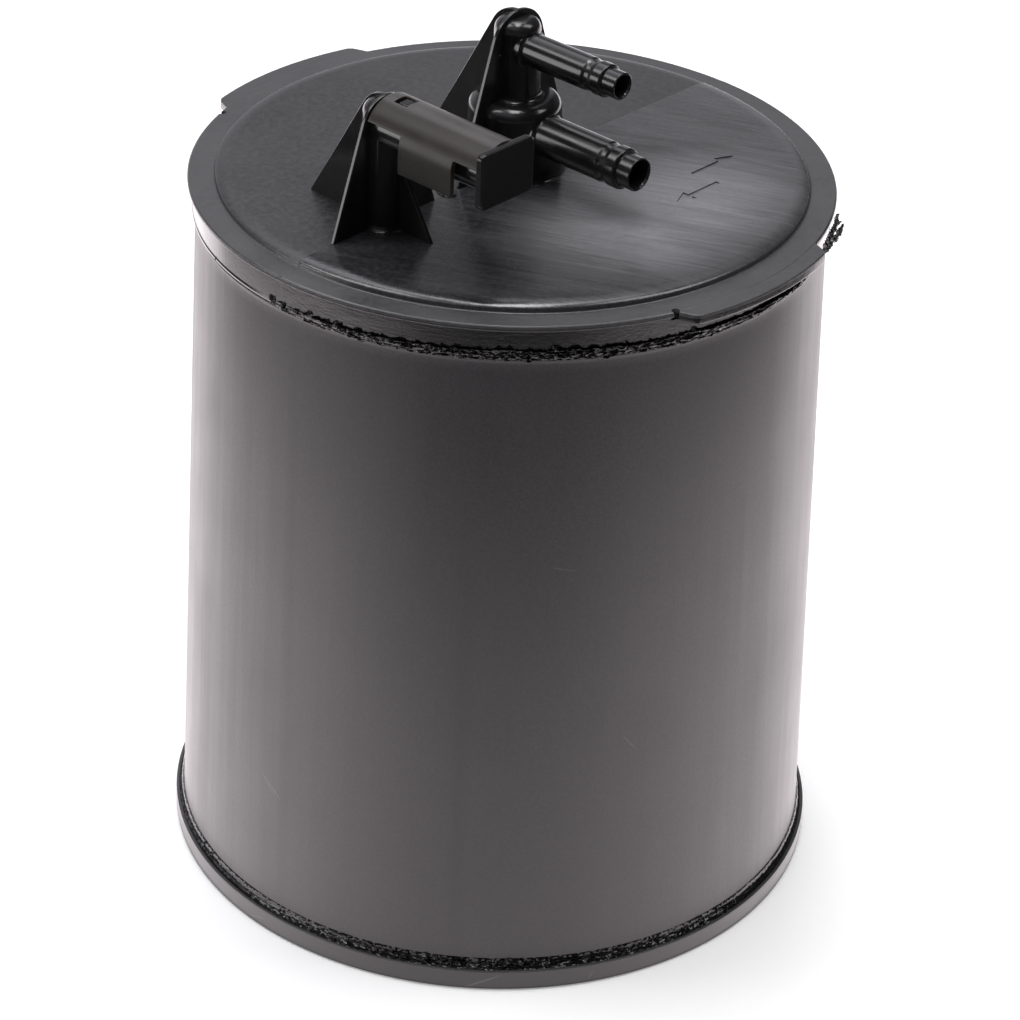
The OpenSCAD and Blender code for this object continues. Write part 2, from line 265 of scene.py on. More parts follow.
# ------------------------------------------------------------------ materials
class Mat:
    """A small builder for node materials."""

    def __init__(self, name):
        self.mat = bpy.data.materials.new(name)
        self.mat.use_nodes = True
        self.t = self.mat.node_tree
        self.t.nodes.clear()
        self.out = self.new("ShaderNodeOutputMaterial")
        self.p = self.new("ShaderNodeBsdfPrincipled")
        self.t.links.new(self.p.outputs[0], self.out.inputs[0])
        self.co = self.new("ShaderNodeTexCoord").outputs["Object"]

    def new(self, kind, **kw):
        n = self.t.nodes.new(kind)
        for k, v in kw.items():
            setattr(n, k, v)
        return n

    def put(self, sock, v):
        if hasattr(v, "node"):
            self.t.links.new(v, sock)
        else:
            sock.default_value = v

    def math(self, op, x, y=0.5, clamp=False):
        n = self.new("ShaderNodeMath", operation=op, use_clamp=clamp)
        self.put(n.inputs[0], x)
        self.put(n.inputs[1], y)
        return n.outputs[0]

    def xyz(self, v=None):
        n = self.new("ShaderNodeSeparateXYZ")
        self.put(n.inputs[0], v or self.co)
        return n.outputs

    def vec(self, x, y, z):
        n = self.new("ShaderNodeCombineXYZ")
        for s, v in zip(n.inputs, (x, y, z)):
            self.put(s, v)
        return n.outputs[0]

    def mapped(self, scale, rot=(0, 0, 0), v=None):
        n = self.new("ShaderNodeMapping")
        self.put(n.inputs["Vector"], v or self.co)
        n.inputs["Rotation"].default_value = rot
        n.inputs["Scale"].default_value = scale
        return n.outputs[0]

    def turned(self, degrees, scale, v=None):
        """The coordinates turned about Z, then stretched, so that grain can run along any direction of a flat."""
        return self.mapped(scale, v=self.mapped((1, 1, 1), (0, 0, math.radians(degrees)), v))

    def noise(self, v, scale, detail=3.0, rough=0.55, warp=0.0):
        n = self.new("ShaderNodeTexNoise")
        self.put(n.inputs["Vector"], v)
        n.inputs["Scale"].default_value = scale
        n.inputs["Detail"].default_value = detail
        n.inputs["Roughness"].default_value = rough
        n.inputs["Distortion"].default_value = warp
        return n.outputs["Fac"]

    def span(self, v, a0, a1, b0, b1, smooth=False):
        n = self.new("ShaderNodeMapRange", interpolation_type="SMOOTHSTEP" if smooth else "LINEAR")
        self.put(n.inputs["Value"], v)
        for k, x in zip(("From Min", "From Max", "To Min", "To Max"), (a0, a1, b0, b1)):
            n.inputs[k].default_value = x
        return n.outputs[0]

    def mix(self, f, x, y):
        n = self.new("ShaderNodeMix", data_type="RGBA")
        self.put(n.inputs[0], f)
        for s, v in ((n.inputs[6], x), (n.inputs[7], y)):
            self.put(s, v if hasattr(v, "node") else (*v, 1.0))
        return n.outputs[2]

    def lerp(self, f, x, y):
        n = self.new("ShaderNodeMix", data_type="FLOAT")
        self.put(n.inputs[0], f)
        self.put(n.inputs[2], x)
        self.put(n.inputs[3], y)
        return n.outputs[0]

    def bump(self, height, strength, distance, normal=None):
        n = self.new("ShaderNodeBump")
        n.inputs["Strength"].default_value = strength
        n.inputs["Distance"].default_value = distance
        self.put(n.inputs["Height"], height)
        if normal is not None:
            self.put(n.inputs["Normal"], normal)
        return n.outputs[0]

    def soft_edges(self, radius):
        n = self.new("ShaderNodeBevel", samples=4)
        n.inputs["Radius"].default_value = radius
        return n.outputs[0]

    def specks(self, scale, size, share, v=None):
        """Sparse small dust spots: 1 on a spot."""
        n = self.new("ShaderNodeTexVoronoi", feature="F1")
        self.put(n.inputs["Vector"], v or self.co)
        n.inputs["Scale"].default_value = scale
        chosen = self.math("LESS_THAN", self.xyz(n.outputs["Color"])[0], share)
        spot = self.span(n.outputs["Distance"], size * 0.45, size, 1, 0)
        return self.math("MULTIPLY", chosen, spot)

    def lines(self, u, w, segments):
        """Thin straight scratches from (u0, w0) to (u1, w1) with a half width, on any two coordinates."""
        total = None
        for u0, w0, u1, w1, half, depth in segments:
            du, dw = u1 - u0, w1 - w0
            ln = math.hypot(du, dw)
            du, dw = du / ln, dw / ln
            ru, rw = self.math("SUBTRACT", u, u0), self.math("SUBTRACT", w, w0)
            along = self.math("ADD", self.math("MULTIPLY", ru, du), self.math("MULTIPLY", rw, dw))
            off = self.math("ABSOLUTE", self.math("SUBTRACT", self.math("MULTIPLY", ru, -dw), self.math("MULTIPLY", rw, -du)))
            m = self.math("MULTIPLY", self.span(off, half * 0.3, half, depth, 0), self.span(along, 0, ln * 0.25, 0, 1))
            m = self.math("MULTIPLY", m, self.span(along, ln * 0.7, ln, 1, 0))
            total = m if total is None else self.math("MAXIMUM", total, m)
        return total

    def done(self, color, rough, normal=None, spec=0.5, ior=1.5):
        self.put(self.p.inputs["Base Color"], color if hasattr(color, "node") else (*color, 1))
        self.put(self.p.inputs["Roughness"], rough)
        self.p.inputs["IOR"].default_value = ior
        self.p.inputs["Specular IOR Level"].default_value = spec
        if normal is not None:
            self.put(self.p.inputs["Normal"], normal)
        return self.mat


def around(m):
    """Arc length round the can from the nearest point to the front, and height, in metres."""
    x, y, z = m.xyz()
    f = m.math("ADD", m.math("MULTIPLY", x, toward.x), m.math("MULTIPLY", y, toward.y))
    s = m.math("ADD", m.math("MULTIPLY", x, side.x), m.math("MULTIPLY", y, side.y))
    return m.math("MULTIPLY", m.math("ARCTAN2", s, f), 0.077), z


def can_material():
    m = Mat("can_plastic")
    u, z = around(m)
    draw = m.noise(m.mapped((1, 1, 0.012)), 420, 3, 0.6)
    bands = m.noise(m.mapped((1, 1, 0.03)), 46, 2, 0.5)
    cloud = m.noise(m.co, 44, 2, 0.55)
    grain = m.noise(m.co, 1500, 2, 0.7)
    specks = m.specks(52, 0.013, 0.16, m.vec(u, z, 0.0))
    seam = m.lines(u, z, [(-0.0528, -0.03, -0.0528, 0.22, 0.0022, 0.9), (-0.0070, -0.02, -0.0070, 0.165, 0.0030, 0.8), (-0.1100, -0.03, -0.1100, 0.21, 0.0022, 0.8), (0.1350, -0.03, 0.1350, 0.21, 0.0022, 0.8)])
    marks = m.lines(u, z, [
        (-0.0710, 0.0520, -0.0676, 0.0455, 0.00035, 0.9), (-0.0605, 0.0440, -0.0560, 0.0395, 0.00050, 0.8),
        (-0.0588, 0.0432, -0.0535, 0.0385, 0.00030, 0.7), (0.0310, 0.0700, 0.0355, 0.0640, 0.00022, 0.35),
        (0.0120, 0.1180, 0.0190, 0.1165, 0.00020, 0.30), (0.1210, 0.0900, 0.1280, 0.0820, 0.00030, 0.6),
        (-0.1500, 0.1100, -0.1400, 0.1010, 0.00030, 0.5), (0.1900, 0.0500, 0.1985, 0.0560, 0.00030, 0.6)])
    tone = m.math("ADD", m.math("MULTIPLY", draw, 0.35), m.math("ADD", m.math("MULTIPLY", bands, 0.35), m.math("MULTIPLY", cloud, 0.3)))
    color = m.mix(m.span(tone, 0.3, 0.7, 0, 1), (0.0092, 0.0087, 0.0090), (0.0168, 0.0158, 0.0160))
    color = m.mix(m.span(cloud, 0.48, 0.72, 0, 0.55), color, (0.0120, 0.0112, 0.0150))
    color = m.mix(m.span(grain, 0.38, 0.72, 0, 0.36), color, (0.042, 0.040, 0.041))
    color = m.mix(m.math("MULTIPLY", seam, 0.25), color, (0.007, 0.007, 0.007))
    color = m.mix(m.math("MULTIPLY", marks, 0.55), color, (0.20, 0.20, 0.20))
    color = m.mix(m.math("MULTIPLY", specks, 0.6), color, (0.40, 0.40, 0.39))
    rough = m.math("ADD", m.span(tone, 0.3, 0.7, 0.35, 0.48), m.math("ADD", m.math("MULTIPLY", marks, 0.15), m.math("MULTIPLY", seam, 0.03)))
    n = m.bump(draw, 0.22, 0.00012)
    n = m.bump(bands, 0.28, 0.0004, n)
    n = m.bump(grain, 0.40, 0.00006, n)
    return m.done(color, rough, n)


def lid_material():
    m = Mat("cover_plastic")
    x, y, z = m.xyz()
    front = m.span(y, -0.0004, 0.0002, 1, 0)
    wipe = m.noise(m.turned(65, (0.045, 1.0, 1.0)), 1250, 3, 0.66, 0.3)
    smear = m.noise(m.turned(65, (0.24, 1.0, 1.0)), 105, 3, 0.6, 0.8)
    cloud = m.noise(m.co, 42, 2, 0.55)
    grain = m.noise(m.co, 2100, 1, 0.7)
    upward = m.span(z, 0.1795, 0.1802, 0, 1)
    flat = m.vec(x, y, 0.0)
    specks = m.math("MAXIMUM", m.specks(62, 0.020, 0.14, flat), m.specks(170, 0.030, 0.035, flat))
    reach = m.math("SQRT", m.math("ADD", m.math("MULTIPLY", x, x), m.math("MULTIPLY", y, y)))
    across = m.math("ADD", m.math("MULTIPLY", x, side.x), m.math("MULTIPLY", y, side.y))
    # a dusty film on the front half, painted as light: a painted highlight thickest in front of the nipples, thinning
    # out towards the vent to leave painted shade under the vent cap
    fx = m.math("DIVIDE", m.math("SUBTRACT", x, 0.007), 0.042)
    fy = m.math("DIVIDE", m.math("SUBTRACT", y, -0.041), 0.025)
    far = m.math("SQRT", m.math("ADD", m.math("MULTIPLY", fx, fx), m.math("MULTIPLY", fy, fy)))
    dusty_film_and_highlight = m.math("MULTIPLY", front, m.math("MAXIMUM", m.span(far, 0.20, 1.45, 1, 0, True), m.span(across, -0.01, 0.05, 0.02, 0.22, True)))
    ledge = m.span(reach, 0.0700, 0.0708, 0, 1)
    dusty_film_and_highlight = m.math("MULTIPLY", dusty_film_and_highlight, m.math("SUBTRACT", 1.0, ledge))
    streak = m.math("MULTIPLY", front, m.math("ADD", m.math("MULTIPLY", wipe, 0.5), m.math("MULTIPLY", smear, 0.5)))
    back_half = m.math("SUBTRACT", 1.0, front)
    tone = m.math("ADD", streak, m.math("MULTIPLY", back_half, m.span(cloud, 0.3, 0.7, 0.44, 0.56)))
    color = m.mix(m.span(tone, 0.36, 0.66, 0, 1), (0.0072, 0.0071, 0.0080), (0.0215, 0.0212, 0.0232))
    # painted highlight: the film's light colour stands in for the broad reflection on the front half
    color = m.mix(m.math("MULTIPLY", dusty_film_and_highlight, m.span(tone, 0.34, 0.64, 0.50, 0.90)), color, (0.172, 0.171, 0.179))
    color = m.mix(m.math("MULTIPLY", ledge, m.span(cloud, 0.3, 0.7, 0.30, 0.40)), color, (0.078, 0.077, 0.081))
    mottle = m.noise(flat, 620, 2, 0.7)
    color = m.mix(m.math("MULTIPLY", upward, m.span(mottle, 0.42, 0.72, 0, 0.26)), color, (0.0620, 0.0615, 0.0640))
    color = m.mix(m.math("MULTIPLY", specks, 0.8), color, (0.60, 0.60, 0.59))
    color = m.mix(upward, m.mix(m.span(cloud, 0.3, 0.7, 0, 1), (0.0045, 0.0045, 0.0048), (0.0080, 0.0079, 0.0083)), color)
    rough = m.lerp(m.math("MAXIMUM", m.math("SUBTRACT", 1.0, front), ledge), m.span(tone, 0.36, 0.66, 0.13, 0.24), m.math("ADD", m.span(cloud, 0.3, 0.7, 0.30, 0.38), m.span(mottle, 0.3, 0.7, -0.03, 0.06)))
    rough = m.lerp(upward, m.span(cloud, 0.3, 0.7, 0.13, 0.19), m.math("ADD", rough, m.math("ADD", m.math("MULTIPLY", specks, 0.3), m.math("MULTIPLY", dusty_film_and_highlight, 0.16))))
    n = m.bump(m.math("MULTIPLY", front, wipe), 0.30, 0.00010)
    n = m.bump(smear, 0.10, 0.0005, n)
    n = m.bump(m.math("ADD", m.math("MULTIPLY", mottle, 1.5), grain), 0.20, 0.00006, n)
    return m.done(color, rough, n)


def port_material():
    m = Mat("port_plastic")
    cloud = m.noise(m.co, 120, 4, 0.6)
    flow = m.noise(m.mapped((1, 1, 0.12)), 420, 4, 0.6)
    grain = m.noise(m.co, 2600, 2, 0.6)
    specks = m.specks(150, 0.030, 0.10)
    tone = m.math("ADD", m.math("MULTIPLY", cloud, 0.6), m.math("MULTIPLY", flow, 0.4))
    color = m.mix(m.span(tone, 0.3, 0.7, 0, 1), (0.0056, 0.0056, 0.0060), (0.0130, 0.0127, 0.0133))
    color = m.mix(m.math("MULTIPLY", specks, 0.4), color, (0.35, 0.35, 0.34))
    rough = m.span(tone, 0.3, 0.7, 0.13, 0.25)
    n = m.bump(flow, 0.03, 0.00012)
    n = m.bump(grain, 0.03, 0.00005, n)
    return m.done(color, rough, n, spec=0.38)


def cap_material():
    m = Mat("cap_plastic")
    cloud = m.noise(m.co, 150, 4, 0.6)
    flow = m.noise(m.mapped((1, 0.06, 1)), 700, 4, 0.6)
    grain = m.noise(m.co, 2100, 3, 0.7)
    x, y, z = m.xyz()
    specks = m.specks(120, 0.030, 0.12, m.vec(x, y, 0.0))
    plate = m.span(y, -0.0364, -0.0361, 1, 0)
    tone = m.math("ADD", m.math("MULTIPLY", cloud, 0.5), m.math("MULTIPLY", flow, 0.5))
    color = m.mix(m.span(tone, 0.3, 0.7, 0, 1), (0.0122, 0.0100, 0.0083), (0.0228, 0.0188, 0.0158))
    color = m.mix(m.span(grain, 0.35, 0.75, 0, 0.14), color, (0.050, 0.046, 0.042))
    # painted highlight: the top of the arch, where its normal points up, is painted lighter along the crest
    crest_highlight = m.span(m.xyz(m.new("ShaderNodeNewGeometry").outputs["Normal"])[2], 0.90, 0.98, 0, 1, True)
    color = m.mix(m.math("MULTIPLY", crest_highlight, m.span(tone, 0.3, 0.7, 0.35, 0.75)), color, (0.072, 0.069, 0.067))
    color = m.mix(m.math("MULTIPLY", plate, 0.92), color, (0.0042, 0.0042, 0.0043))
    color = m.mix(m.math("MULTIPLY", specks, 0.5), color, (0.4, 0.4, 0.38))
    rough = m.lerp(plate, m.span(tone, 0.3, 0.7, 0.34, 0.44), m.span(tone, 0.3, 0.7, 0.20, 0.28))
    n = m.bump(flow, 0.16, 0.00010)
    n = m.bump(grain, 0.08, 0.00005, n)
    return m.done(color, rough, n, spec=0.23)


def flash_material(name, fine, torn, tone, shine, aside=1.0):
    """Squeezed-out plastic, with torn facets of about 1 / fine metres that lean by up to torn.
    Away from about -138 degrees, where it is drawn out more than torn, the lean drops to aside times that. tone and shine are its base colour and roughness where it is darkest and most polished."""
    m = Mat(name)
    cloud = m.noise(m.co, 700, 2, 0.65)
    lump = m.noise(m.co, 1700, 2, 0.6)
    color = m.mix(m.span(cloud, 0.3, 0.7, 0, 1), (tone, tone, tone * 1.05), (tone * 3, tone * 2.9, tone * 3))
    rough = m.span(lump, 0.3, 0.7, shine, shine + 0.12)
    # small torn facets, each tilted its own way
    cell = m.new("ShaderNodeTexVoronoi", feature="F1")
    m.put(cell.inputs["Vector"], m.co)
    cell.inputs["Scale"].default_value = fine
    tilt = m.new("ShaderNodeVectorMath", operation="SUBTRACT")
    m.put(tilt.inputs[0], cell.outputs["Color"])
    tilt.inputs[1].default_value = (0.5, 0.5, 0.5)
    lean = m.new("ShaderNodeVectorMath", operation="SCALE")
    m.put(lean.inputs[0], tilt.outputs[0])
    facing = m.new("ShaderNodeVectorMath", operation="DOT_PRODUCT")
    m.put(facing.inputs[0], m.co)
    facing.inputs[1].default_value = (-9.29, -8.36, 0)
    m.put(lean.inputs["Scale"], m.span(facing.outputs["Value"], 0.64, 0.87, torn * aside, torn))
    total = m.new("ShaderNodeVectorMath", operation="ADD")
    m.put(total.inputs[0], lean.outputs[0])
    m.put(total.inputs[1], m.new("ShaderNodeNewGeometry").outputs["Normal"])
    unit = m.new("ShaderNodeVectorMath", operation="NORMALIZE")
    m.put(unit.inputs[0], total.outputs[0])
    return m.done(color, rough, unit.outputs[0], spec=0.34)


def base_material():
    m = Mat("base_plastic")
    u, z = around(m)
    rings = m.noise(m.mapped((0.02, 0.02, 1)), 1500, 4, 0.65)
    cloud = m.noise(m.co, 60, 4, 0.55)
    grain = m.noise(m.co, 2600, 2, 0.6)
    specks = m.specks(120, 0.03, 0.12)
    marks = m.lines(u, z, [(-0.0045, 0.0004, 0.0045, 0.0046, 0.00035, 0.9), (0.0245, 0.0008, 0.0260, 0.0036, 0.00025, 0.6), (-0.062, 0.001, -0.056, 0.0032, 0.0003, 0.6),
                           (0.150, 0.001, 0.156, 0.004, 0.0003, 0.7), (-0.165, 0.0006, -0.158, 0.0042, 0.0003, 0.7)])
    tone = m.math("ADD", m.math("MULTIPLY", rings, 0.6), m.math("MULTIPLY", cloud, 0.4))
    color = m.mix(m.span(tone, 0.3, 0.7, 0, 1), (0.0100, 0.0097, 0.0102), (0.0200, 0.0193, 0.0197))
    color = m.mix(m.math("MULTIPLY", marks, 0.4), color, (0.16, 0.16, 0.16))
    # the lip's upper edge is painted lighter: a painted highlight where the edge catches the light, with some rubbing
    # wear
    edge_highlight_and_wear = m.math("MULTIPLY", m.span(z, 0.0049, 0.0053, 0, 1), m.span(tone, 0.35, 0.65, 0.45, 1.0))
    color = m.mix(edge_highlight_and_wear, color, (0.062, 0.060, 0.062))
    color = m.mix(m.math("MULTIPLY", specks, 0.5), color, (0.35, 0.35, 0.34))
    rough = m.span(tone, 0.3, 0.7, 0.36, 0.48)
    n = m.bump(rings, 0.22, 0.00010)
    n = m.bump(grain, 0.05, 0.00005, n)
    return m.done(color, rough, n)


def pad_material():
    m = Mat("filter_felt")
    fibre = m.noise(m.mapped((1, 1, 0.4)), 1900, 6, 0.75, 2.5)
    pores = m.new("ShaderNodeTexVoronoi", feature="F1")
    m.put(pores.inputs["Vector"], m.co)
    pores.inputs["Scale"].default_value = 900
    cloud = m.noise(m.co, 60, 3, 0.5)
    tone = m.math("ADD", m.math("MULTIPLY", fibre, 0.6), m.math("MULTIPLY", pores.outputs["Distance"], 0.5))
    color = m.mix(m.span(tone, 0.3, 0.75, 0, 1), (0.030, 0.030, 0.029), (0.165, 0.160, 0.150))
    color = m.mix(m.span(cloud, 0.45, 0.75, 0, 0.35), color, (0.05, 0.05, 0.05))
    return m.done(color, m.span(tone, 0.3, 0.75, 0.95, 0.8), m.bump(tone, 0.7, 0.0006))


def carbon_material():
    m = Mat("carbon_pellets")
    cell = m.new("ShaderNodeTexVoronoi", feature="F1")
    m.put(cell.inputs["Vector"], m.co)
    cell.inputs["Scale"].default_value = 420
    edge = m.new("ShaderNodeTexVoronoi", feature="DISTANCE_TO_EDGE")
    m.put(edge.inputs["Vector"], m.co)
    edge.inputs["Scale"].default_value = 420
    dome = m.span(edge.outputs["Distance"], 0.0, 0.32, 0, 1, True)
    grit = m.noise(m.co, 3800, 4, 0.7)
    # painted shade: each pellet is painted darker towards its edges, where the pellets meet
    shade = m.math("MULTIPLY", dome, m.span(m.xyz(cell.outputs["Color"])[0], 0, 1, 0.45, 1.0))
    color = m.mix(shade, (0.0025, 0.0025, 0.0026), (0.030, 0.030, 0.031))
    rough = m.span(grit, 0.3, 0.7, 0.45, 0.85)
    n = m.bump(dome, 0.9, 0.0012)
    return m.done(color, rough, m.bump(grit, 0.35, 0.0002, n))


def plate_material():
    m = Mat("retainer_plastic")
    cloud = m.noise(m.co, 70, 4, 0.55)
    dust = m.noise(m.co, 900, 5, 0.7)
    grain = m.noise(m.co, 3000, 2, 0.6)
    color = m.mix(m.span(cloud, 0.3, 0.7, 0, 1), (0.52, 0.50, 0.44), (0.63, 0.61, 0.55))
    color = m.mix(m.span(dust, 0.58, 0.8, 0, 0.6), color, (0.05, 0.05, 0.05))
    rough = m.span(cloud, 0.3, 0.7, 0.38, 0.5)
    return m.done(color, rough, m.bump(grain, 0.08, 0.00006, m.soft_edges(0.0003)))


def steel_material():
    m = Mat("spring_steel")
    drawn = m.noise(m.co, 2400, 4, 0.65)
    cloud = m.noise(m.co, 260, 3, 0.6)
    color = m.mix(m.span(cloud, 0.3, 0.7, 0, 1), (0.40, 0.40, 0.41), (0.60, 0.60, 0.60))
    rough = m.span(drawn, 0.3, 0.7, 0.22, 0.42)
    m.p.inputs["Metallic"].default_value = 1.0
    return m.done(color, rough, m.bump(drawn, 0.12, 0.00006))


CAN, COVER, PORT, CAP, BASE = can_material(), lid_material(), port_material(), cap_material(), base_material()
FLASH, LOW_FLASH = flash_material("weld_flash", 1450, 1.0, 0.0015, 0.10), flash_material("base_weld_flash", 1450, 0.65, 0.0034, 0.12, 0.35)
PAD, CARBON, PLATE, STEEL = pad_material(), carbon_material(), plate_material(), steel_material()


def dress(ob, *mats):
    ob.data.materials.clear()
    for x in mats:
        ob.data.materials.append(x)


# ------------------------------------------------------------------ can
def can_r(z):
    return 79.75 - 4.6 * (z - 5.4) / 166.6


wall = [(can_r(5.4) - 2.6, 5.4), (80.0, 5.4), (80.15, 6.2), (80.02, 7.0), (can_r(8.0), 8.0)]
wall += [(can_r(z), z) for z in np.linspace(12, 168, 40)]
wall += [(can_r(170.2), 170.2), (75.35, 170.9), (75.38, 171.35), (75.15, 171.7), (74.9, 172), (can_r(172) - 2.6, 172)]
wall += [(can_r(z) - 2.6, z) for z in np.linspace(168, 12, 12)]
can = build("can_shell", *lathe(wall, ring(360), loop=True))
half = math.sqrt(72.8 ** 2 - 22 ** 2)
wall_plate = slab("wall_plate", [(-23.1, -half), (-20.9, -half), (-20.9, half), (-23.1, half)], 12, 171.9, edge=0)
can = combine(can, [wall_plate])
finish_mesh(can)
dress(can, CAN)
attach(can, "root")
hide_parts("canister_body")

# ------------------------------------------------------------------ bottom cover
base_profile = rounded([(0, 1), (64, 1), (65, 0), (81.75, 0), (81.75, 5.4), (76.3, 5.4), (76.2, 8.4), (74.2, 8.4), (74, 5.4), (71, 5.4), (70, 3.4), (0, 3.4)],
                       [0, 0.3, 0.3, 0.55, 0.3, 0.2, 0.3, 0.3, 0.2, 0.3, 0.4, 0], 5)
base = build("base_cover", *lathe(base_profile, ring(360)))
extra = []
for k in range(8):
    t = math.radians(45 * k)
    extra.append(slab(f"rib{k}", [(8, -1), (64.5, -1), (64.5, 1), (8, 1)], 0.25, 1.25, edge=0.25, segs=2, place=Matrix.Rotation(t, 4, "Z")))
extra.append(build("gate", *lathe(rounded([(0, 0.25), (9, 0.25), (9, 1.3), (0, 1.3)], [0, 0.3, 0, 0]), ring(64))))
SPRINGS = {"tank_spring_front": (4, -42), "tank_spring_rear": (4, 42), "tank_spring_right": (52, 0), "vent_spring_front": (-47, -30), "vent_spring_rear": (-47, 30)}
for n, (sx, sy) in SPRINGS.items():
    extra.append(build("seat", *lathe(rounded([(0, 2.9), (6.8, 2.9), (6.8, 7.4), (0, 7.4)], [0, 0, 0.6, 0]), ring(48)), place=Matrix.Translation((sx, sy, 0))))
combine(base, extra)
finish_mesh(base)
dress(base, BASE)
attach(base, "root")
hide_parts("bottom_cover")

# ------------------------------------------------------------------ top cover
STEP = 0.11           # the front half of the disc stands this much higher along the parting line
cover_profile = rounded([(72.5, 172), (75.15, 172), (75.85, 172.2), (75.95, 172.75), (75.72, 173.1), (75.98, 179.0), (76.7, 179.3), (76.92, 179.55), (76.92, 180.35), (76.55, 180.65), (70.8, 180.65)],
                        [0, 0.1, 0.2, 0.2, 0.2, 0.25, 0.12, 0.15, 0.25, 0.2, 0.5], 5)
# the disc's edge rolls off in a wide soft curve, and its top is very slightly crowned
cover_profile = cover_profile[:-1] + rounded([(71.4, 180.65), (70.62, 180.65), (70.45, 181.4)], [0, 0.4, 0], 5)
cover_profile += [(66.45 + 4.0 * math.cos(math.radians(d)), 181.4 + 1.17 * math.sin(math.radians(d))) for d in range(6, 91, 6)]
cover_profile += [(r, LID - 0.18 * (r / 66.45) ** 4) for r in (64, 60, 55, 50, 45, 40, 30, 20, 10)]
cover_profile += rounded([(0, LID), (0, 179.75), (66.5, 179.75), (67.5, 177.75), (72.5, 177.75)], [0, 0, 0.4, 0.4, 0], 5)
fine = 0.0009
turn = sorted(set(ring(400)) | {fine, math.pi - fine, math.pi + fine, 2 * math.pi - fine})
verts, faces = lathe(split_long(cover_profile, 9.0), turn, loop=True)
verts = [(x, y, z + (STEP * min(1, max(0.4, (z - 180.6) / 1.5)) if z > 180.3 and y < -1e-4 and math.hypot(x, y) > 1e-6 else 0)) for x, y, z in verts]
cover = build("top_cover_shell", verts, faces)

UP = Matrix.Translation((0, 0, LID))
UPV = Matrix.Translation((VX, 0, LID))
TO_Y = Matrix.Rotation(math.radians(90), 4, "X")          # a turned shape's axis goes along -Y
STAND_X = Matrix.Rotation(math.radians(90), 4, "X")       # an outline stands up, its x along X
STAND_Y = Matrix.Rotation(math.radians(90), 4, "Z") @ Matrix.Rotation(math.radians(90), 4, "X")   # its x along Y


def touch(p, c, r, sgn):
    d = math.hypot(p[0] - c[0], p[1] - c[1])
    t = math.atan2(p[1] - c[1], p[0] - c[0]) + sgn * math.acos(r / d)
    return (c[0] + r * math.cos(t), c[1] + r * math.sin(t))


def rib_outline(h, r, left, right, n=28):
    c = (0, h)
    tl, tr = touch((left, 0), c, r, -1), touch((right, 0), c, r, 1)
    a0 = math.atan2(tr[1] - h, tr[0])
    a1 = math.atan2(tl[1] - h, tl[0]) % (2 * math.pi)
    if a1 < a0:
        a1 += 2 * math.pi
    head = [(r * math.cos(a0 + (a1 - a0) * i / n), h + r * math.sin(a0 + (a1 - a0) * i / n)) for i in range(n + 1)]
    return [(left, -0.6), (right, -0.6), (right, 0.15)] + head + [(left, 0.15)]


def half_outline(h, r, foot, n=20):
    c = (0, h)
    tr = touch((foot, 0), c, r, 1)
    a0 = math.atan2(tr[1] - h, tr[0])
    head = [(r * math.cos(a0 + (math.pi / 2 - a0) * i / n), h + r * math.sin(a0 + (math.pi / 2 - a0) * i / n)) for i in range(n + 1)]
    return [(0, -0.6), (foot, -0.6), (foot, 0.15)] + head


def nipple(name, r, length, root, nose, bore, lift):
    out = [(bore, 3.0), (r + 0.8, 3.0), (r + 0.8, root)]
    out += arc(r + 0.8, root + 0.8, 0.8, 270, 182, 6)
    out += rounded([(r, root + 0.8), (r, length - 9.6), (r - 0.26, length - 8.8), (r - 0.26, length - 7.7), (r, length - 6.7), (r, length - 4.05), (nose, length - 3.85), (nose, length), (bore + 0.25, length), (bore, length - 0.6), (bore, 3.0)],
                   [0, 1.2, 0.9, 0.9, 0.8, 0.65, 0.15, 0.28, 0.12, 0.2, 0], 5)
    return build(name, *lathe(out[:-1], ring(96), loop=True), place=Matrix.Translation((0, 0, LID + lift)) @ TO_Y)


parts = []
post = [(0, -0.6), (13.3, -0.6), (13.3, 0)] + arc(13.3, 1.6, 1.6, 270, 184, 7) + arc(7.9, 15.5, 3.2, 0, 86, 10) + arc(7, 19.8, 1.1, 270, 182, 7) + arc(2.5, 35.1, 3, 2, 90, 10) + [(0, 38.1)]
parts.append(build("post", *lathe(post, ring(112)), place=UP))
parts.append(slab("rib_x", rib_outline(31.3, 8.6, -19, 19), -0.5, 0.5, edge=0.22, place=UP @ STAND_X))
parts.append(slab("rib_y", half_outline(31.3, 8.6, 27.6), -0.5, 0.5, edge=0.22, place=UP @ STAND_Y))
parts.append(nipple("tank", 5.0, 39.2, 10.4, 4.05, 3.4, 11.3))
parts.append(nipple("purge", 4.0, 32.8, 4.6, 3.27, 2.6, 31.3))
vent = [(0, -0.6), (6.9, -0.6), (6.9, 0)] + arc(6.9, 1.5, 1.5, 270, 184, 7) + arc(2.2, 27.8, 3, 2, 90, 10) + [(0, 30.8)]
parts.append(build("vent_post", *lathe(vent, ring(96)), place=UPV))
parts.append(slab("vent_rib_x", rib_outline(24.6, 7.5, -16.5, 16.5), -0.5, 0.5, edge=0.22, place=UPV @ STAND_X))
parts.append(slab("vent_rib_y", half_outline(24.6, 7.5, 23.4), -0.5, 0.5, edge=0.22, place=UPV @ STAND_Y))
parts.append(slab("gusset", [(-15.5, -0.6), (0, -0.6), (0, 17.4), (-5, 17.4), (-15.5, 0.1)], -0.5, 0.5, edge=0.22, place=UPV @ STAND_Y))
tube = rounded([(3.6, 0), (5.0, 0), (5.0, 34), (3.6, 34)], [0, 0, 0.4, 0.4], 4, closed=True)
parts.append(build("vent_tube", *lathe(tube, ring(80), loop=True), place=Matrix.Translation((VX, 0, LID + 24.6)) @ TO_Y))
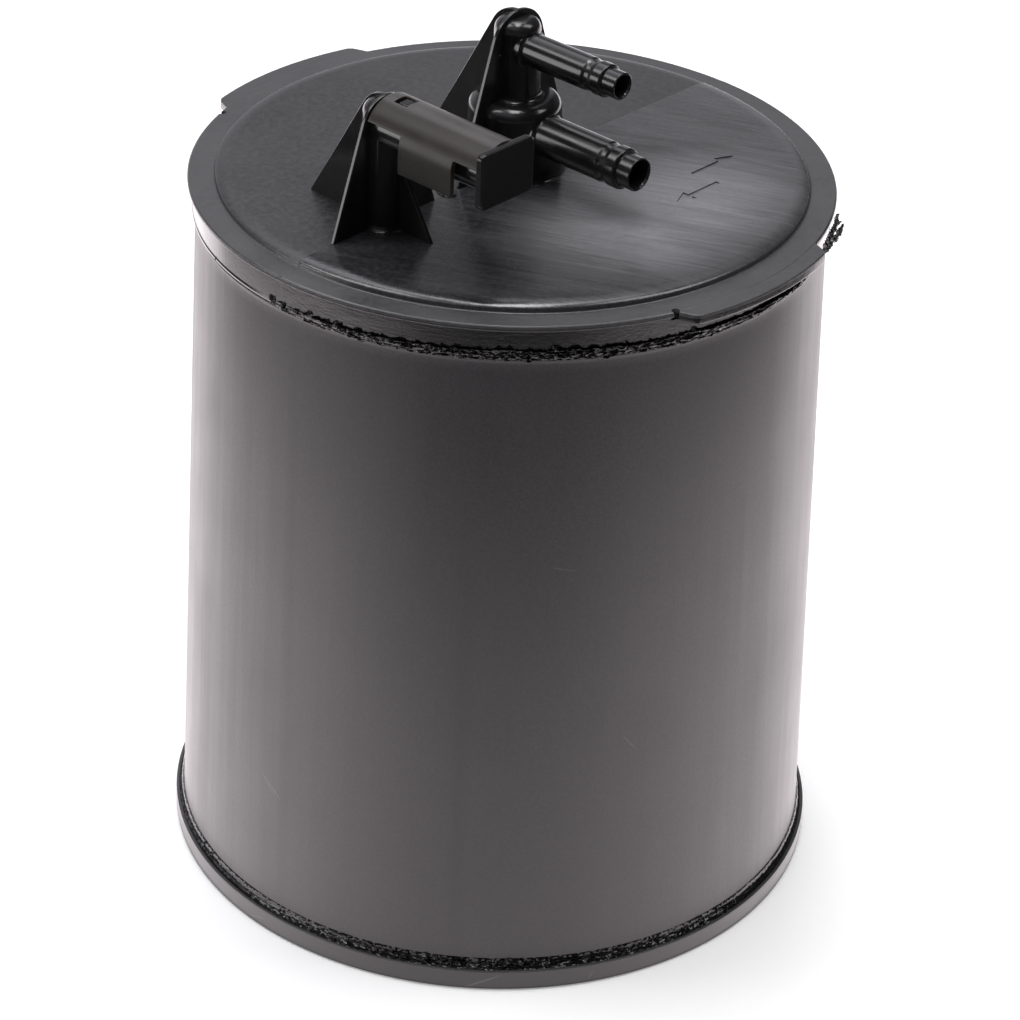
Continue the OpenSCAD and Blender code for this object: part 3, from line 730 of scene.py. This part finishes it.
parts.append(slab("catch", rounded([(-1.5, -8), (1.5, -8), (1.5, -5.4), (-1.5, -5.4)], [0.3] * 4, 3, closed=True), LID + 27.6, LID + 32.3, edge=0.3, place=Matrix.Translation((VX, 0, 0))))


# rim lugs on +Y and -Y, with a small notch at one end
def lug_outline(sgn):
    reach = math.asin(21.9 / 80.6)
    rim = [(80.6 * math.sin(t), 80.6 * math.cos(t)) for t in np.linspace(-reach, reach, 41)]
    pts = [(-24.6, 68), (-24.6, 72.2), (-22.9, 76.6)] + rim + [(22.9, 76.6), (24.6, 72.2), (24.6, 68)]
    pts = rounded(pts, [0, 0.8, 0.9] + [0.9] + [0] * 39 + [0.9] + [0.9, 0.8, 0], 4)
    return [(x, sgn * y) for x, y in pts]


for sgn in (1, -1):
    parts.append(slab("lug", lug_outline(sgn), 178.25, 180.63, edge=0.35, segs=3))

combine(cover, parts)
cuts = []
# shallow sunk flow arrows beside the nipples
for cx, cy, flip in ((34.8, -32.6, 1), (21.0, -39.6, -1)):
    arrow = [(-7.5, -0.6), (2.6, -0.6), (2.6, -2.1), (7.5, 0), (2.6, 2.1), (2.6, 0.6), (-7.5, 0.6)]
    cuts.append(slab("mark", [(cx + flip * px, cy + flip * py) for px, py in arrow], LID - 0.26, LID + 1.0, edge=0))
for t in (111, -108.6):
    cuts.append(build("notch", *lathe([(0, 178.2), (0.9, 178.2), (1.0, 181.5), (0, 181.5)], ring(24)), place=Matrix.Rotation(math.radians(t), 4, "Z") @ Matrix.Translation((76.3, 0, 0))))
combine(cover, cuts, "DIFFERENCE")
finish_mesh(cover)
dress(cover, COVER, PORT)
for poly in cover.data.polygons:
    if poly.center.z > (LID + 0.36) * MM:
        poly.material_index = 1
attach(cover, "root")
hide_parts("top_cover")


# ------------------------------------------------------------------ vent cap
def cap_sleeve():
    """The arched sleeve as a grid with its cut-outs left out, thickened inwards."""
    r, h0, h1, h_cut, h_win = 8.2, 19.1, 24.6, 28.2, 27.8
    a_cut = math.asin((h_cut - h1) / r)
    a_win = math.asin((h_win - h1) / r)
    slot = math.acos(2.1 / r)
    right = [(r, h0 + (h1 - h0) * i / 4) for i in range(5)]
    angles = sorted(set(list(np.linspace(0, a_win, 5)[1:]) + [a_cut] + list(np.linspace(a_cut, slot, 12)[1:]) + list(np.linspace(slot, math.pi / 2, 5)[1:])))
    right += [(r * math.cos(t), h1 + r * math.sin(t)) for t in angles]
    path = right + [(-x, z) for x, z in reversed(right[:-1])]
    ys = sorted(set([-1.6, -4.8, -8.6, -12.0, -28.4, -36.2]) | set(np.linspace(-12, -28.4, 8)) | {-2.6, -10.2, -6.7, -30.9, -33.6})
    bm = bmesh.new()
    grid = [[bm.verts.new((VX + x, y, LID + z)) for y in ys] for x, z in path]
    for i in range(len(path) - 1):
        zm, xm = (path[i][1] + path[i + 1][1]) / 2, abs(path[i][0] + path[i + 1][0]) / 2
        for j in range(len(ys) - 1):
            ym = (ys[j] + ys[j + 1]) / 2
            if ym > -12 and zm < h_cut - 1e-6 or ym < -28.4 and zm < h_win - 1e-6:
                continue
            if -8.6 < ym < -4.8 and xm < 2.1 and zm > h1:
                continue
            bm.faces.new((grid[i][j], grid[i + 1][j], grid[i + 1][j + 1], grid[i][j + 1]))
    for v in [v for v in bm.verts if not v.link_faces]:
        bm.verts.remove(v)
    bm.verts.index_update()
    verts = [tuple(v.co) for v in bm.verts]
    faces = [tuple(v.index for v in f.verts) for f in bm.faces]
    bm.free()
    me = bpy.data.meshes.new("vent_cap_shell")
    me.from_pydata([tuple(c * MM for c in v) for v in verts], [], faces)
    bm = bmesh.new()
    bm.from_mesh(me)
    bmesh.ops.recalc_face_normals(bm, faces=bm.faces)
    if sum((f.calc_center_median() - Vector((VX * MM, f.calc_center_median().y, (LID + h1) * MM))).dot(f.normal) for f in bm.faces) < 0:
        bmesh.ops.reverse_faces(bm, faces=bm.faces)
    bm.to_mesh(me)
    bm.free()
    ob = bpy.data.objects.new("vent_cap_shell", me)
    bpy.context.scene.collection.objects.link(ob)
    s = ob.modifiers.new("wall", "SOLIDIFY")
    s.thickness = 1.3 * MM
    s.offset = -1
    s.use_even_offset = True
    b = ob.modifiers.new("edge", "BEVEL")
    b.width = 0.22 * MM
    b.segments = 2
    b.limit_method = "ANGLE"
    b.angle_limit = math.radians(50)
    return settle(ob)


cap = cap_sleeve()
plate_outline = rounded([(-8.4, 18.9), (8.4, 18.9), (8.4, 32.4), (-8.4, 32.4)], [1.5] * 4, 7, closed=True)
end_plate = slab("end_plate", plate_outline, 35.95, 38.0, edge=0.42, segs=3, place=UPV @ STAND_X)
inner = []
for t in (0, 90, 180):
    m = UPV @ Matrix.Translation((0, 0, 24.6)) @ STAND_X @ Matrix.Rotation(math.radians(t), 4, "Z")
    inner.append(slab("inner_rib", [(5.1, -0.6), (7.3, -0.6), (7.3, 0.6), (5.1, 0.6)], 13, 27, edge=0.1, segs=1, place=m))
combine(cap, [end_plate] + inner)


def crumb(name, centre, size, seed, stretch=(1, 1, 1)):
    """A torn bit of plastic: a small lump pushed about by noise."""
    bm = bmesh.new()
    bmesh.ops.create_icosphere(bm, subdivisions=3, radius=1.0)
    r = np.random.default_rng(seed)
    dirs = r.normal(size=(9, 3))
    dirs /= np.linalg.norm(dirs, axis=1)[:, None]
    amps = r.uniform(-0.45, 0.75, 9)
    for v in bm.verts:
        d = np.array(v.co)
        k = 1 + float(np.sum(amps * np.clip(dirs @ d, 0, 1) ** 6))
        v.co = Vector((d * k * np.array(stretch) * size + np.array(centre)).tolist())
    verts = [tuple(v.co) for v in bm.verts]
    bm.verts.index_update()
    faces = [tuple(v.index for v in f.verts) for f in bm.faces]
    bm.free()
    return build(name, verts, faces)


torn = [crumb(f"torn{i}", (VX - 7.6 + dx, y, LID + 19.1 + dz), s, 300 + i, st) for i, (dx, y, dz, s, st) in enumerate([
    (0.0, -24.6, -0.15, 0.55, (1.0, 1.6, 0.7)), (0.1, -26.0, -0.25, 0.6, (0.9, 1.3, 0.9)), (-0.1, -27.4, -0.1, 0.62, (0.9, 1.5, 0.8)),
    (0.2, -28.4, 0.15, 0.5, (0.9, 1.0, 0.9)), (0.1, -23.0, -0.05, 0.35, (0.9, 1.6, 0.7))])]
combine(cap, torn)
finish_mesh(cap, 38)
dress(cap, CAP)
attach(cap, "root")
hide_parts("vent_cap")


# ------------------------------------------------------------------ weld flash
def weld_band(name, path, normals, seed, count, amp_of, top_of, rag_of, long_of, lumps, cells, layers, first=0.0):
    """A band of squeezed-out plastic that follows a weld round the can, in rounded strands that lie over each other.
    path and normals give its section on the wall. By turns, amp_of gives its height, top_of how far up it reaches,
    rag_of how torn it is and long_of how far its strands are drawn out. lumps are (degrees, share up, height, width)."""
    rows = len(path)
    P, N = np.array(path), np.array(normals)
    length = float(np.sum(np.linalg.norm(np.diff(P, axis=0), axis=1)))
    t = np.arange(count) / count
    s = np.linspace(0, 1, rows)
    T, S = np.meshgrid(t, s, indexing="ij")
    amp, rag, drawn = amp_of(t)[:, None], np.clip(rag_of(t), 0, 1)[:, None], np.clip(long_of(t), 0, 1)[:, None]
    wander = 0.34 * sheet_noise(cells // 3, 1, seed)(T, S) + 0.30 * sheet_noise(cells, layers * 2, seed + 1)(T, S)
    slow = 0.30 * sheet_noise(cells // 9, 1, seed + 7)(T, S)
    phase = S * layers + 0.15 + rag * (wander * (1 - 0.6 * drawn) + slow)
    saw = phase - np.floor(phase)
    strand = np.clip(1 - (2 * saw - 1) ** 2, 0, 1) ** 0.6
    short = sheet_noise(int(cells * 1.3), layers * 3, seed + 2)(T, S)
    lengthy = sheet_noise(cells // 7, layers * 3, seed + 3)(T, S)
    grit = sheet_noise(cells * 2, layers * 4, seed + 4)(T, S)
    fill = short * (1 - drawn) + lengthy * drawn
    body = np.clip(0.04 + strand * (0.52 + 0.52 * rag * fill) + rag * (0.16 * fill + 0.15 * grit), 0.02, 1.3)
    row = np.arange(rows)[None]
    k_top = np.clip(np.round(top_of(t) * (rows - 1)), 2, rows - 4).astype(int)[:, None]
    h = amp * (body + 0.40 * rag * np.exp(-((row - k_top) / 1.8) ** 2)) * np.clip(row / 1.5, 0, 1)
    # past its ragged upper edge the band folds back to the wall, so that the edge stands a little off it
    past, gap = row > k_top, row == k_top + 1
    h = np.where(past, np.where(gap, 0.02, -0.3), h)
    low = S < first * (1 + 0.5 * rag * sheet_noise(cells // 2, 1, seed + 8)(T, S * 0)) * (1.25 - 0.5 * rag)
    h = np.where(low, -0.15, h)
    slide = np.where(gap, -np.minimum(0.5, 0.5 * S * length) * rag, 0.22 * rag * h * sheet_noise(cells, layers, seed + 5)(T, S))
    for deg, share, high, wide in lumps:
        turn = (T - turns(deg) + 0.5) % 1.0 - 0.5
        d2 = (turn * 2 * math.pi * P[0, 0] / wide) ** 2 + ((S - share) * length / wide) ** 2
        bulge = high * np.exp(-d2) * (1 + 0.35 * grit + 0.35 * short)
        slide = np.where((bulge > 0.06) & past, 0, slide)
        h = np.where(bulge > 0.06, np.maximum(h, bulge), h)
    tang = np.gradient(P, axis=0)
    tang /= np.linalg.norm(tang, axis=1)[:, None]
    rz = P[None] + N[None] * h[..., None] + tang[None] * slide[..., None]
    ang = T * 2 * math.pi + 0.002 * rag * h * sheet_noise(cells, layers + 1, seed + 6)(T, S)
    pts = np.stack([rz[..., 0] * np.cos(ang), rz[..., 0] * np.sin(ang), rz[..., 1]], -1)
    deep = P - N * 0.45
    inner_rz = deep[[0, rows - 1]]
    th = t * 2 * math.pi
    inside = np.stack([np.stack([r * np.cos(th), r * np.sin(th), np.full(count, z)], -1) for r, z in inner_rz], 1)
    grid = np.concatenate([pts, inside[:, 1:2], inside[:, 0:1]], 1)
    m = grid.shape[1]
    idx = np.arange(count * m).reshape(count, m)
    nxt, up = np.roll(idx, -1, 0), np.roll(idx, -1, 1)
    both = np.roll(nxt, -1, 1)
    faces = np.stack([idx, nxt, both, up], -1).reshape(-1, 4)
    ob = build(name, grid.reshape(-1, 3), faces.tolist())
    ob.data.shade_smooth()
    dress(ob, FLASH)
    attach(ob, "root")
    return ob


def turns(deg):
    return (deg % 360) / 360


def by_angle(knots, seed, wobble, cells):
    """A value by angle from knots of (degrees, value), with noise in proportion to it."""
    ks = sorted((turns(d), v) for d, v in knots)
    xs = [ks[-1][0] - 1] + [k[0] for k in ks] + [ks[0][0] + 1]
    ys = [ks[-1][1]] + [k[1] for k in ks] + [ks[0][1]]
    slow, quick = periodic(cells, seed), periodic(cells * 4, seed + 1)

    def f(t):
        return np.interp(t, xs, ys) * (1 + wobble * slow(t) + 0.6 * wobble * quick(t))
    return f


zs = np.linspace(170.7, 175.4, 27)
upper_path = [(can_r(z) + 0.1 if z < 171.5 else 75.72 + 0.04 * (z - 173.1) if z > 172.1 else 75.45, z) for z in zs]
UP_Z = 4.7


def up_share(z):
    return (z - 170.7) / UP_Z


upper = weld_band("upper_weld_flash", upper_path, [(0.97, 0.24)] * 27, 41, 2400,
                  by_angle([(-230, 0.10), (-190, 0.10), (-184, 0.15), (-181, 0.75), (-170, 0.80), (-150, 0.82), (-120, 0.85), (-104, 0.80), (-92, 0.80), (-80, 0.75), (-70, 0.6), (-62, 0.3), (-50, 0.15), (-20, 0.7), (20, 0.8), (60, 0.4), (75, 0.1), (100, 0.1), (115, 0.6)], 7, 0.16, 90),
                  by_angle([(-230, up_share(171.3)), (-184, up_share(171.3)), (-182, up_share(172.8)), (-174, up_share(173.1)), (-161, up_share(173.5)), (-150, up_share(173.8)), (-137, up_share(174.1)), (-120, up_share(174.2)), (-106, up_share(174.0)), (-95, up_share(173.5)), (-85, up_share(173.1)), (-72, up_share(172.7)), (-62, up_share(172.2)), (-55, up_share(171.3)), (-20, 0.6), (20, 0.7), (60, 0.3), (75, 0.1), (100, 0.1), (115, 0.5)], 9, 0.07, 150),
                  by_angle([(-230, 0.1), (-185, 0.15), (-181, 1.0), (-60, 1.0), (-50, 0.3), (-20, 1.0), (60, 1.0), (75, 0.1), (100, 0.1), (115, 1.0)], 11, 0.0, 40),
                  by_angle([(-230, 0.0), (-105, 0.0), (-95, 0.75), (-60, 0.85), (-40, 0.2), (20, 0.0)], 13, 0.0, 40),
                  [(-182.4, up_share(173.2), 1.0, 0.75), (-179.6, up_share(173.2), 0.7, 0.5), (-173.5, up_share(173.7), 0.9, 0.6), (-168, up_share(173.8), 0.8, 0.55), (-163.6, up_share(171.2), 0.9, 0.7),
                   (-201, up_share(172.6), 0.35, 0.5), (-129.5, up_share(174.6), 0.9, 0.6), (-121.5, up_share(171.4), 0.8, 0.6), (-104.5, up_share(174.4), 0.8, 0.6), (-99, up_share(171.6), 0.7, 0.55),
                   (-66.5, up_share(172.6), 0.8, 0.6), (-63, up_share(172.8), 0.7, 0.45), (-20, up_share(174), 0.9, 0.7), (35, up_share(173.6), 0.9, 0.7), (122, up_share(173.2), 0.6, 0.6)],
                  430, 4, 0.14)

corner = rounded([(81.3, 5.33), (80.15, 5.42), (80.17, 6.2), (80.03, 7.0), (79.7, 8.0), (79.66, 9.0)], [0, 0.4, 0.3, 0.4, 0.4, 0], 4)
lower_path = split_long(corner, 0.22)
lower_normals = []
for (r0, z0), (r1, z1) in zip([lower_path[0]] + lower_path[:-1], lower_path[1:] + [lower_path[-1]]):
    d = math.hypot(r1 - r0, z1 - z0)
    lower_normals.append(((z1 - z0) / d, -(r1 - r0) / d))
lower = weld_band("lower_weld_flash", lower_path, lower_normals, 67, 2250,
                  by_angle([(-230, 0.14), (-200, 0.14), (-180, 0.18), (-170, 0.36), (-160, 0.58), (-148, 0.68), (-135, 0.72), (-120, 0.68), (-105, 0.48), (-92, 0.58), (-80, 0.36), (-60, 0.28), (-30, 0.28), (20, 0.60), (60, 0.34), (100, 0.55)], 17, 0.12, 90),
                  by_angle([(-230, 0.36), (-200, 0.36), (-180, 0.37), (-170, 0.44), (-160, 0.52), (-148, 0.57), (-135, 0.59), (-120, 0.57), (-105, 0.49), (-92, 0.53), (-80, 0.43), (-60, 0.38), (-30, 0.38), (20, 0.54), (60, 0.41), (100, 0.52)], 19, 0.06, 150),
                  by_angle([(-230, 0.10), (-180, 0.12), (-172, 0.32), (-166, 0.55), (-110, 0.62), (-102, 0.50), (-84, 0.55), (-74, 0.25), (-40, 0.2), (0, 0.6), (40, 0.6), (60, 0.2), (100, 0.6), (120, 0.3)], 21, 0.0, 40),
                  by_angle([(-230, 0.6), (-170, 0.5), (-160, 0.0), (-112, 0.0), (-104, 0.8), (-60, 0.9), (-20, 0.2), (60, 0.4), (100, 0.0)], 23, 0.0, 40),
                  [(-201.5, 0.42, 0.6, 0.7), (-198, 0.52, 0.6, 0.6), (-148, 0.60, 0.9, 0.75), (-146.3, 0.58, 0.8, 0.6), (-136, 0.52, 0.8, 0.6), (-133.4, 0.66, 0.95, 0.65), (-131.4, 0.48, 0.8, 0.6),
                   (-96, 0.50, 0.75, 0.8), (-91.5, 0.38, 0.8, 0.9), (-87.5, 0.34, 0.75, 0.7), (10, 0.60, 0.9, 0.7), (100, 0.60, 0.9, 0.7)],
                  400, 4, 0.04)
dress(lower, LOW_FLASH)


# a strip of flash that has come away beside one rim lug
def torn_strip(name, points, widths, seed, thick=0.38):
    """A ragged ribbon through points of (degrees, r, z)."""
    P = np.array([(r * math.cos(math.radians(d)), r * math.sin(math.radians(d)), z) for d, r, z in points])
    n = 46
    u = np.linspace(0, len(P) - 1, n)
    C = np.stack([np.interp(u, np.arange(len(P)), P[:, k]) for k in range(3)], -1)
    W = np.interp(u, np.arange(len(P)), widths)
    r = np.random.default_rng(seed)
    wob = lambda amp: np.convolve(r.uniform(-1, 1, n + 4), np.ones(5) / 5, "valid") * amp
    C += np.stack([wob(0.25), wob(0.25), wob(0.3)], -1)
    tan = np.gradient(C, axis=0)
    tan /= np.linalg.norm(tan, axis=1)[:, None]
    outw = C.copy()
    outw[:, 2] = 0
    outw /= np.linalg.norm(outw, axis=1)[:, None]
    across = np.cross(tan, outw)
    across /= np.linalg.norm(across, axis=1)[:, None]
    across = across * 0.8 + outw * 0.6
    nor = np.cross(tan, across)
    nor /= np.linalg.norm(nor, axis=1)[:, None]
    ws, w2 = W * (1 + r.uniform(-0.45, 0.45, n)), W * (1 + r.uniform(-0.45, 0.45, n))
    th = thick * (1 + r.uniform(-0.4, 0.5, n))
    ringed = []
    for k in range(12):
        f = 2 * math.pi * k / 12
        w = np.where(math.cos(f) > 0, ws, w2)
        ringed.append(C + across * (w * math.cos(f) / 2)[:, None] + nor * (th * (math.sin(f) + 0.5 * math.sin(2 * f + 1)) * (1 + r.uniform(-0.25, 0.25, n)))[:, None])
    G = np.stack(ringed, 1)
    verts = G.reshape(-1, 3).tolist()
    faces = [(i * 12 + k, i * 12 + (k + 1) % 12, (i + 1) * 12 + (k + 1) % 12, (i + 1) * 12 + k) for i in range(n - 1) for k in range(12)]
    faces += [tuple(range(11, -1, -1)), tuple((n - 1) * 12 + k for k in range(12))]
    return build(name, verts, faces)


strip = torn_strip("torn_strip", [(-75.6, 78.9, 179.5), (-73.0, 79.1, 179.3), (-70.5, 78.7, 179.2), (-68.0, 78.4, 179.3), (-66.0, 78.3, 179.4), (-63.5, 78.1, 179.6), (-61.0, 77.9, 179.9), (-59.2, 77.7, 180.5)], [1.6, 1.3, 1.3, 1.5, 1.6, 1.3, 1.3, 0.3], 5, 0.36)
prongs = [torn_strip("prong", [(-72.4, 79.3, 179.2), (-70.2, 79.6, 179.3), (-68.2, 79.4, 179.5), (-66.2, 79.6, 179.4), (-64.4, 79.8, 179.6), (-62.3, 79.7, 180.2)], [1.0, 0.8, 1.0, 1.5, 1.6, 0.35], 6, 0.30),
          torn_strip("tie", [(-67.0, 78.2, 179.3), (-66.4, 78.8, 179.5), (-66.0, 79.6, 179.4)], [0.9, 0.7, 0.9], 8, 0.28),
          torn_strip("barb", [(-62.6, 78.0, 179.8), (-61.4, 78.5, 179.7), (-60.4, 78.9, 179.6)], [0.8, 0.7, 0.2], 9, 0.25)]
combine(strip, prongs)
strip.data.shade_smooth()
strip.data.set_sharp_from_angle(angle=math.radians(50))
dress(strip, FLASH)
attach(strip, "root")


# ------------------------------------------------------------------ springs
def spring(node, cx, cy):
    turns_n, lo, hi, wire, rad = 5, 3.45, 20.45, 1.6, 8.2
    end_rise = wire * 1.06
    rise = hi - lo - wire
    mid = (rise - 2 * end_rise) / (turns_n - 2)

    def zc(t):
        return lo + wire / 2 + (t * end_rise if t < 1 else rise - (turns_n - t) * end_rise if t > turns_n - 1 else end_rise + (t - 1) * mid)
    sides, steps = 14, turns_n * 56
    verts, faces = [], []
    for i in range(steps + 1):
        t = i * turns_n / steps
        g = 2 * math.pi * t
        k = 0.82 if i in (0, steps) else 1
        for j in range(sides):
            f = 2 * math.pi * j / sides
            r = rad + k * wire / 2 * math.cos(f)
            verts.append((cx + r * math.cos(g), cy + r * math.sin(g), zc(t) + k * wire / 2 * math.sin(f)))
    for i in range(steps):
        for j in range(sides):
            q = (j + 1) % sides
            faces.append((i * sides + j, i * sides + q, (i + 1) * sides + q, (i + 1) * sides + j))
    faces += [tuple(range(sides - 1, -1, -1)), tuple(steps * sides + j for j in range(sides))]
    ob = build(node + "_coil", verts, faces)
    ob.data.shade_smooth()
    ob.data.set_sharp_from_angle(angle=math.radians(60))
    dress(ob, STEEL)
    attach(ob, "root")
    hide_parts(node)
    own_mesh(ob)


for n, (sx, sy) in SPRINGS.items():
    spring(n, sx, sy)

# ------------------------------------------------------------------ carried-over inner nodes
for n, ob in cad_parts.items():
    if ob.hide_render:
        continue
    mat = PAD if "filter" in n else CARBON if "charcoal" in n else PLATE
    dress(ob, mat)

# ------------------------------------------------------------------ floor and light
fm = Mat("floor_paper")
tex = fm.noise(fm.co, 900, 1, 0.6)
fm.p.inputs["Emission Color"].default_value = (1, 1, 1, 1)
fm.p.inputs["Emission Strength"].default_value = 0.28
floor_mat = fm.done(fm.mix(tex, (0.86, 0.86, 0.86), (0.88, 0.88, 0.88)), fm.span(tex, 0.3, 0.7, 0.75, 0.85))
me = bpy.data.meshes.new("floor")
me.from_pydata([(-6, -6, -0.0002), (6, -6, -0.0002), (6, 6, -0.0002), (-6, 6, -0.0002)], [], [(0, 1, 2, 3)])
floor = bpy.data.objects.new("floor", me)
bpy.context.scene.collection.objects.link(floor)
me.materials.append(floor_mat)

up = Vector((0, 0, 1))
mid = Vector((0, 0, 0.1))


# the lit table as reflections see it: bright close to the object, darker further out in front and at the sides
def table_card(name, inner, outer):
    m = Mat(name)
    x, y, z = m.xyz()
    f = m.math("ADD", m.math("MULTIPLY", x, toward.x), m.math("MULTIPLY", y, toward.y))
    lateral = m.math("ADD", m.math("MULTIPLY", x, side.x), m.math("MULTIPLY", y, side.y))
    s = m.math("ABSOLUTE", lateral)
    r = m.math("SQRT", m.math("ADD", m.math("MULTIPLY", f, f), m.math("MULTIPLY", s, s)))
    sideways = m.span(m.math("DIVIDE", s, r), 0.15, 0.95, 0, 1, True)
    behind = m.span(m.math("DIVIDE", f, r), -0.55, -0.22, 1, 0, True)
    near = m.lerp(sideways, 1.95, 3.2)
    reach = m.lerp(sideways, m.span(r, 0.205, 0.365, 1, 0.03, True), m.span(r, 0.290, 0.410, 1, 0.03, True))
    fade = m.math("MULTIPLY", m.math("MAXIMUM", reach, behind), m.span(m.math("DIVIDE", lateral, r), 0.1, 0.7, 1.0, 0.88, True))
    glow = m.new("ShaderNodeEmission")
    glow.inputs["Color"].default_value = (1.03, 0.955, 0.985, 1)
    m.put(glow.inputs["Strength"], m.math("MULTIPLY", near, fade))
    m.t.links.new(glow.outputs[0], m.out.inputs[0])
    n = 96
    verts, faces = lathe([(inner, 0.15), (outer, 0.15)], ring(n))
    o = build(name, verts, faces)
    o.data.materials.append(m.mat)
    o.visible_camera = o.visible_diffuse = o.visible_shadow = o.visible_transmission = o.visible_volume_scatter = False


table_card("table_card", 82.3, 2500.0)


def softbox(name, place, aim, sx, sy, radiance):
    d = bpy.data.lights.new(name, "AREA")
    d.shape = "RECTANGLE"
    d.size, d.size_y = sx, sy
    d.energy = radiance * math.pi * sx * sy
    o = bpy.data.objects.new(name, d)
    bpy.context.scene.collection.objects.link(o)
    o.location = place
    o.rotation_mode = "QUATERNION"
    o.rotation_quaternion = (Vector(aim) - Vector(place)).to_track_quat("-Z", "Y")
    return o


softbox("left_box", side * -0.50 + up * 0.95, mid, 0.34, 0.5, 6.0)
softbox("right_box", side * 0.50 + up * 0.95, mid, 0.34, 0.5, 6.0)
softbox("top_box", toward * -0.04 + up * 1.0, mid, 0.18, 0.5, 13.0)
softbox("rear_top_box", toward * -0.6 + up * 1.5, toward * -0.5, 0.8, 0.5, 2.6)
softbox("left_low_box", side * -1.08 + toward * 0.22 + up * 0.30, up * 0.2, 0.5, 0.5, 5.5).visible_diffuse = False
world = bpy.data.worlds.new("studio")
bpy.context.scene.world = world
world.use_nodes = True
wt = world.node_tree
bg = wt.nodes["Background"]
tc = wt.nodes.new("ShaderNodeTexCoord")
dot = wt.nodes.new("ShaderNodeVectorMath")
dot.operation = "DOT_PRODUCT"
wt.links.new(tc.outputs["Generated"], dot.inputs[0])
dot.inputs[1].default_value = tuple(toward)
mr = wt.nodes.new("ShaderNodeMapRange")
mr.interpolation_type = "SMOOTHSTEP"
wt.links.new(dot.outputs["Value"], mr.inputs["Value"])
for k, v in zip(("From Min", "From Max", "To Min", "To Max"), (-0.85, -0.2, 0.85, 0.2)):
    mr.inputs[k].default_value = v
high = wt.nodes.new("ShaderNodeSeparateXYZ")
wt.links.new(tc.outputs["Generated"], high.inputs[0])
lift = wt.nodes.new("ShaderNodeMapRange")
lift.interpolation_type = "SMOOTHSTEP"
wt.links.new(high.outputs[2], lift.inputs["Value"])
for k, v in zip(("From Min", "From Max", "To Min", "To Max"), (0.57, 0.70, 0.0, 3.3)):
    lift.inputs[k].default_value = v
# the bright part stands towards one side
aside = wt.nodes.new("ShaderNodeVectorMath")
aside.operation = "DOT_PRODUCT"
wt.links.new(tc.outputs["Generated"], aside.inputs[0])
aside.inputs[1].default_value = tuple(side)
lean = wt.nodes.new("ShaderNodeMapRange")
lean.interpolation_type = "SMOOTHSTEP"
wt.links.new(aside.outputs["Value"], lean.inputs["Value"])
for k, v in zip(("From Min", "From Max", "To Min", "To Max"), (-0.10, 0.08, 1.0, 0.25)):
    lean.inputs[k].default_value = v
bright = wt.nodes.new("ShaderNodeMath")
bright.operation = "MULTIPLY"
wt.links.new(lift.outputs[0], bright.inputs[0])
wt.links.new(lean.outputs[0], bright.inputs[1])
# low down the back wall is lit, with a dimmer stretch between it and the bright part higher up
wall_light = wt.nodes.new("ShaderNodeMapRange")
wall_light.interpolation_type = "SMOOTHSTEP"
wt.links.new(high.outputs[2], wall_light.inputs["Value"])
for k, v in zip(("From Min", "From Max", "To Min", "To Max"), (0.37, 0.44, 0.85, 0.25)):
    wall_light.inputs[k].default_value = v
heights = wt.nodes.new("ShaderNodeMath")
heights.operation = "ADD"
wt.links.new(bright.outputs[0], heights.inputs[0])
wt.links.new(wall_light.outputs[0], heights.inputs[1])
both_ways = wt.nodes.new("ShaderNodeMath")
both_ways.operation = "MULTIPLY"
wt.links.new(mr.outputs[0], both_ways.inputs[0])
wt.links.new(heights.outputs[0], both_ways.inputs[1])
# the room is darker on one side
shade = wt.nodes.new("ShaderNodeMapRange")
shade.interpolation_type = "SMOOTHSTEP"
wt.links.new(aside.outputs["Value"], shade.inputs["Value"])
for k, v in zip(("From Min", "From Max", "To Min", "To Max"), (0.10, 0.34, 1.0, 0.15)):
    shade.inputs[k].default_value = v
room = wt.nodes.new("ShaderNodeMath")
room.operation = "MULTIPLY"
wt.links.new(both_ways.outputs[0], room.inputs[0])
wt.links.new(shade.outputs[0], room.inputs[1])
wt.links.new(room.outputs[0], bg.inputs["Strength"])
bg.inputs["Color"].default_value = (0.985, 0.975, 1.04, 1)

scene = bpy.context.scene
scene.view_settings.view_transform = "Standard"
scene.view_settings.look = "None"
scene.view_settings.exposure = 0
scene.view_settings.gamma = 1
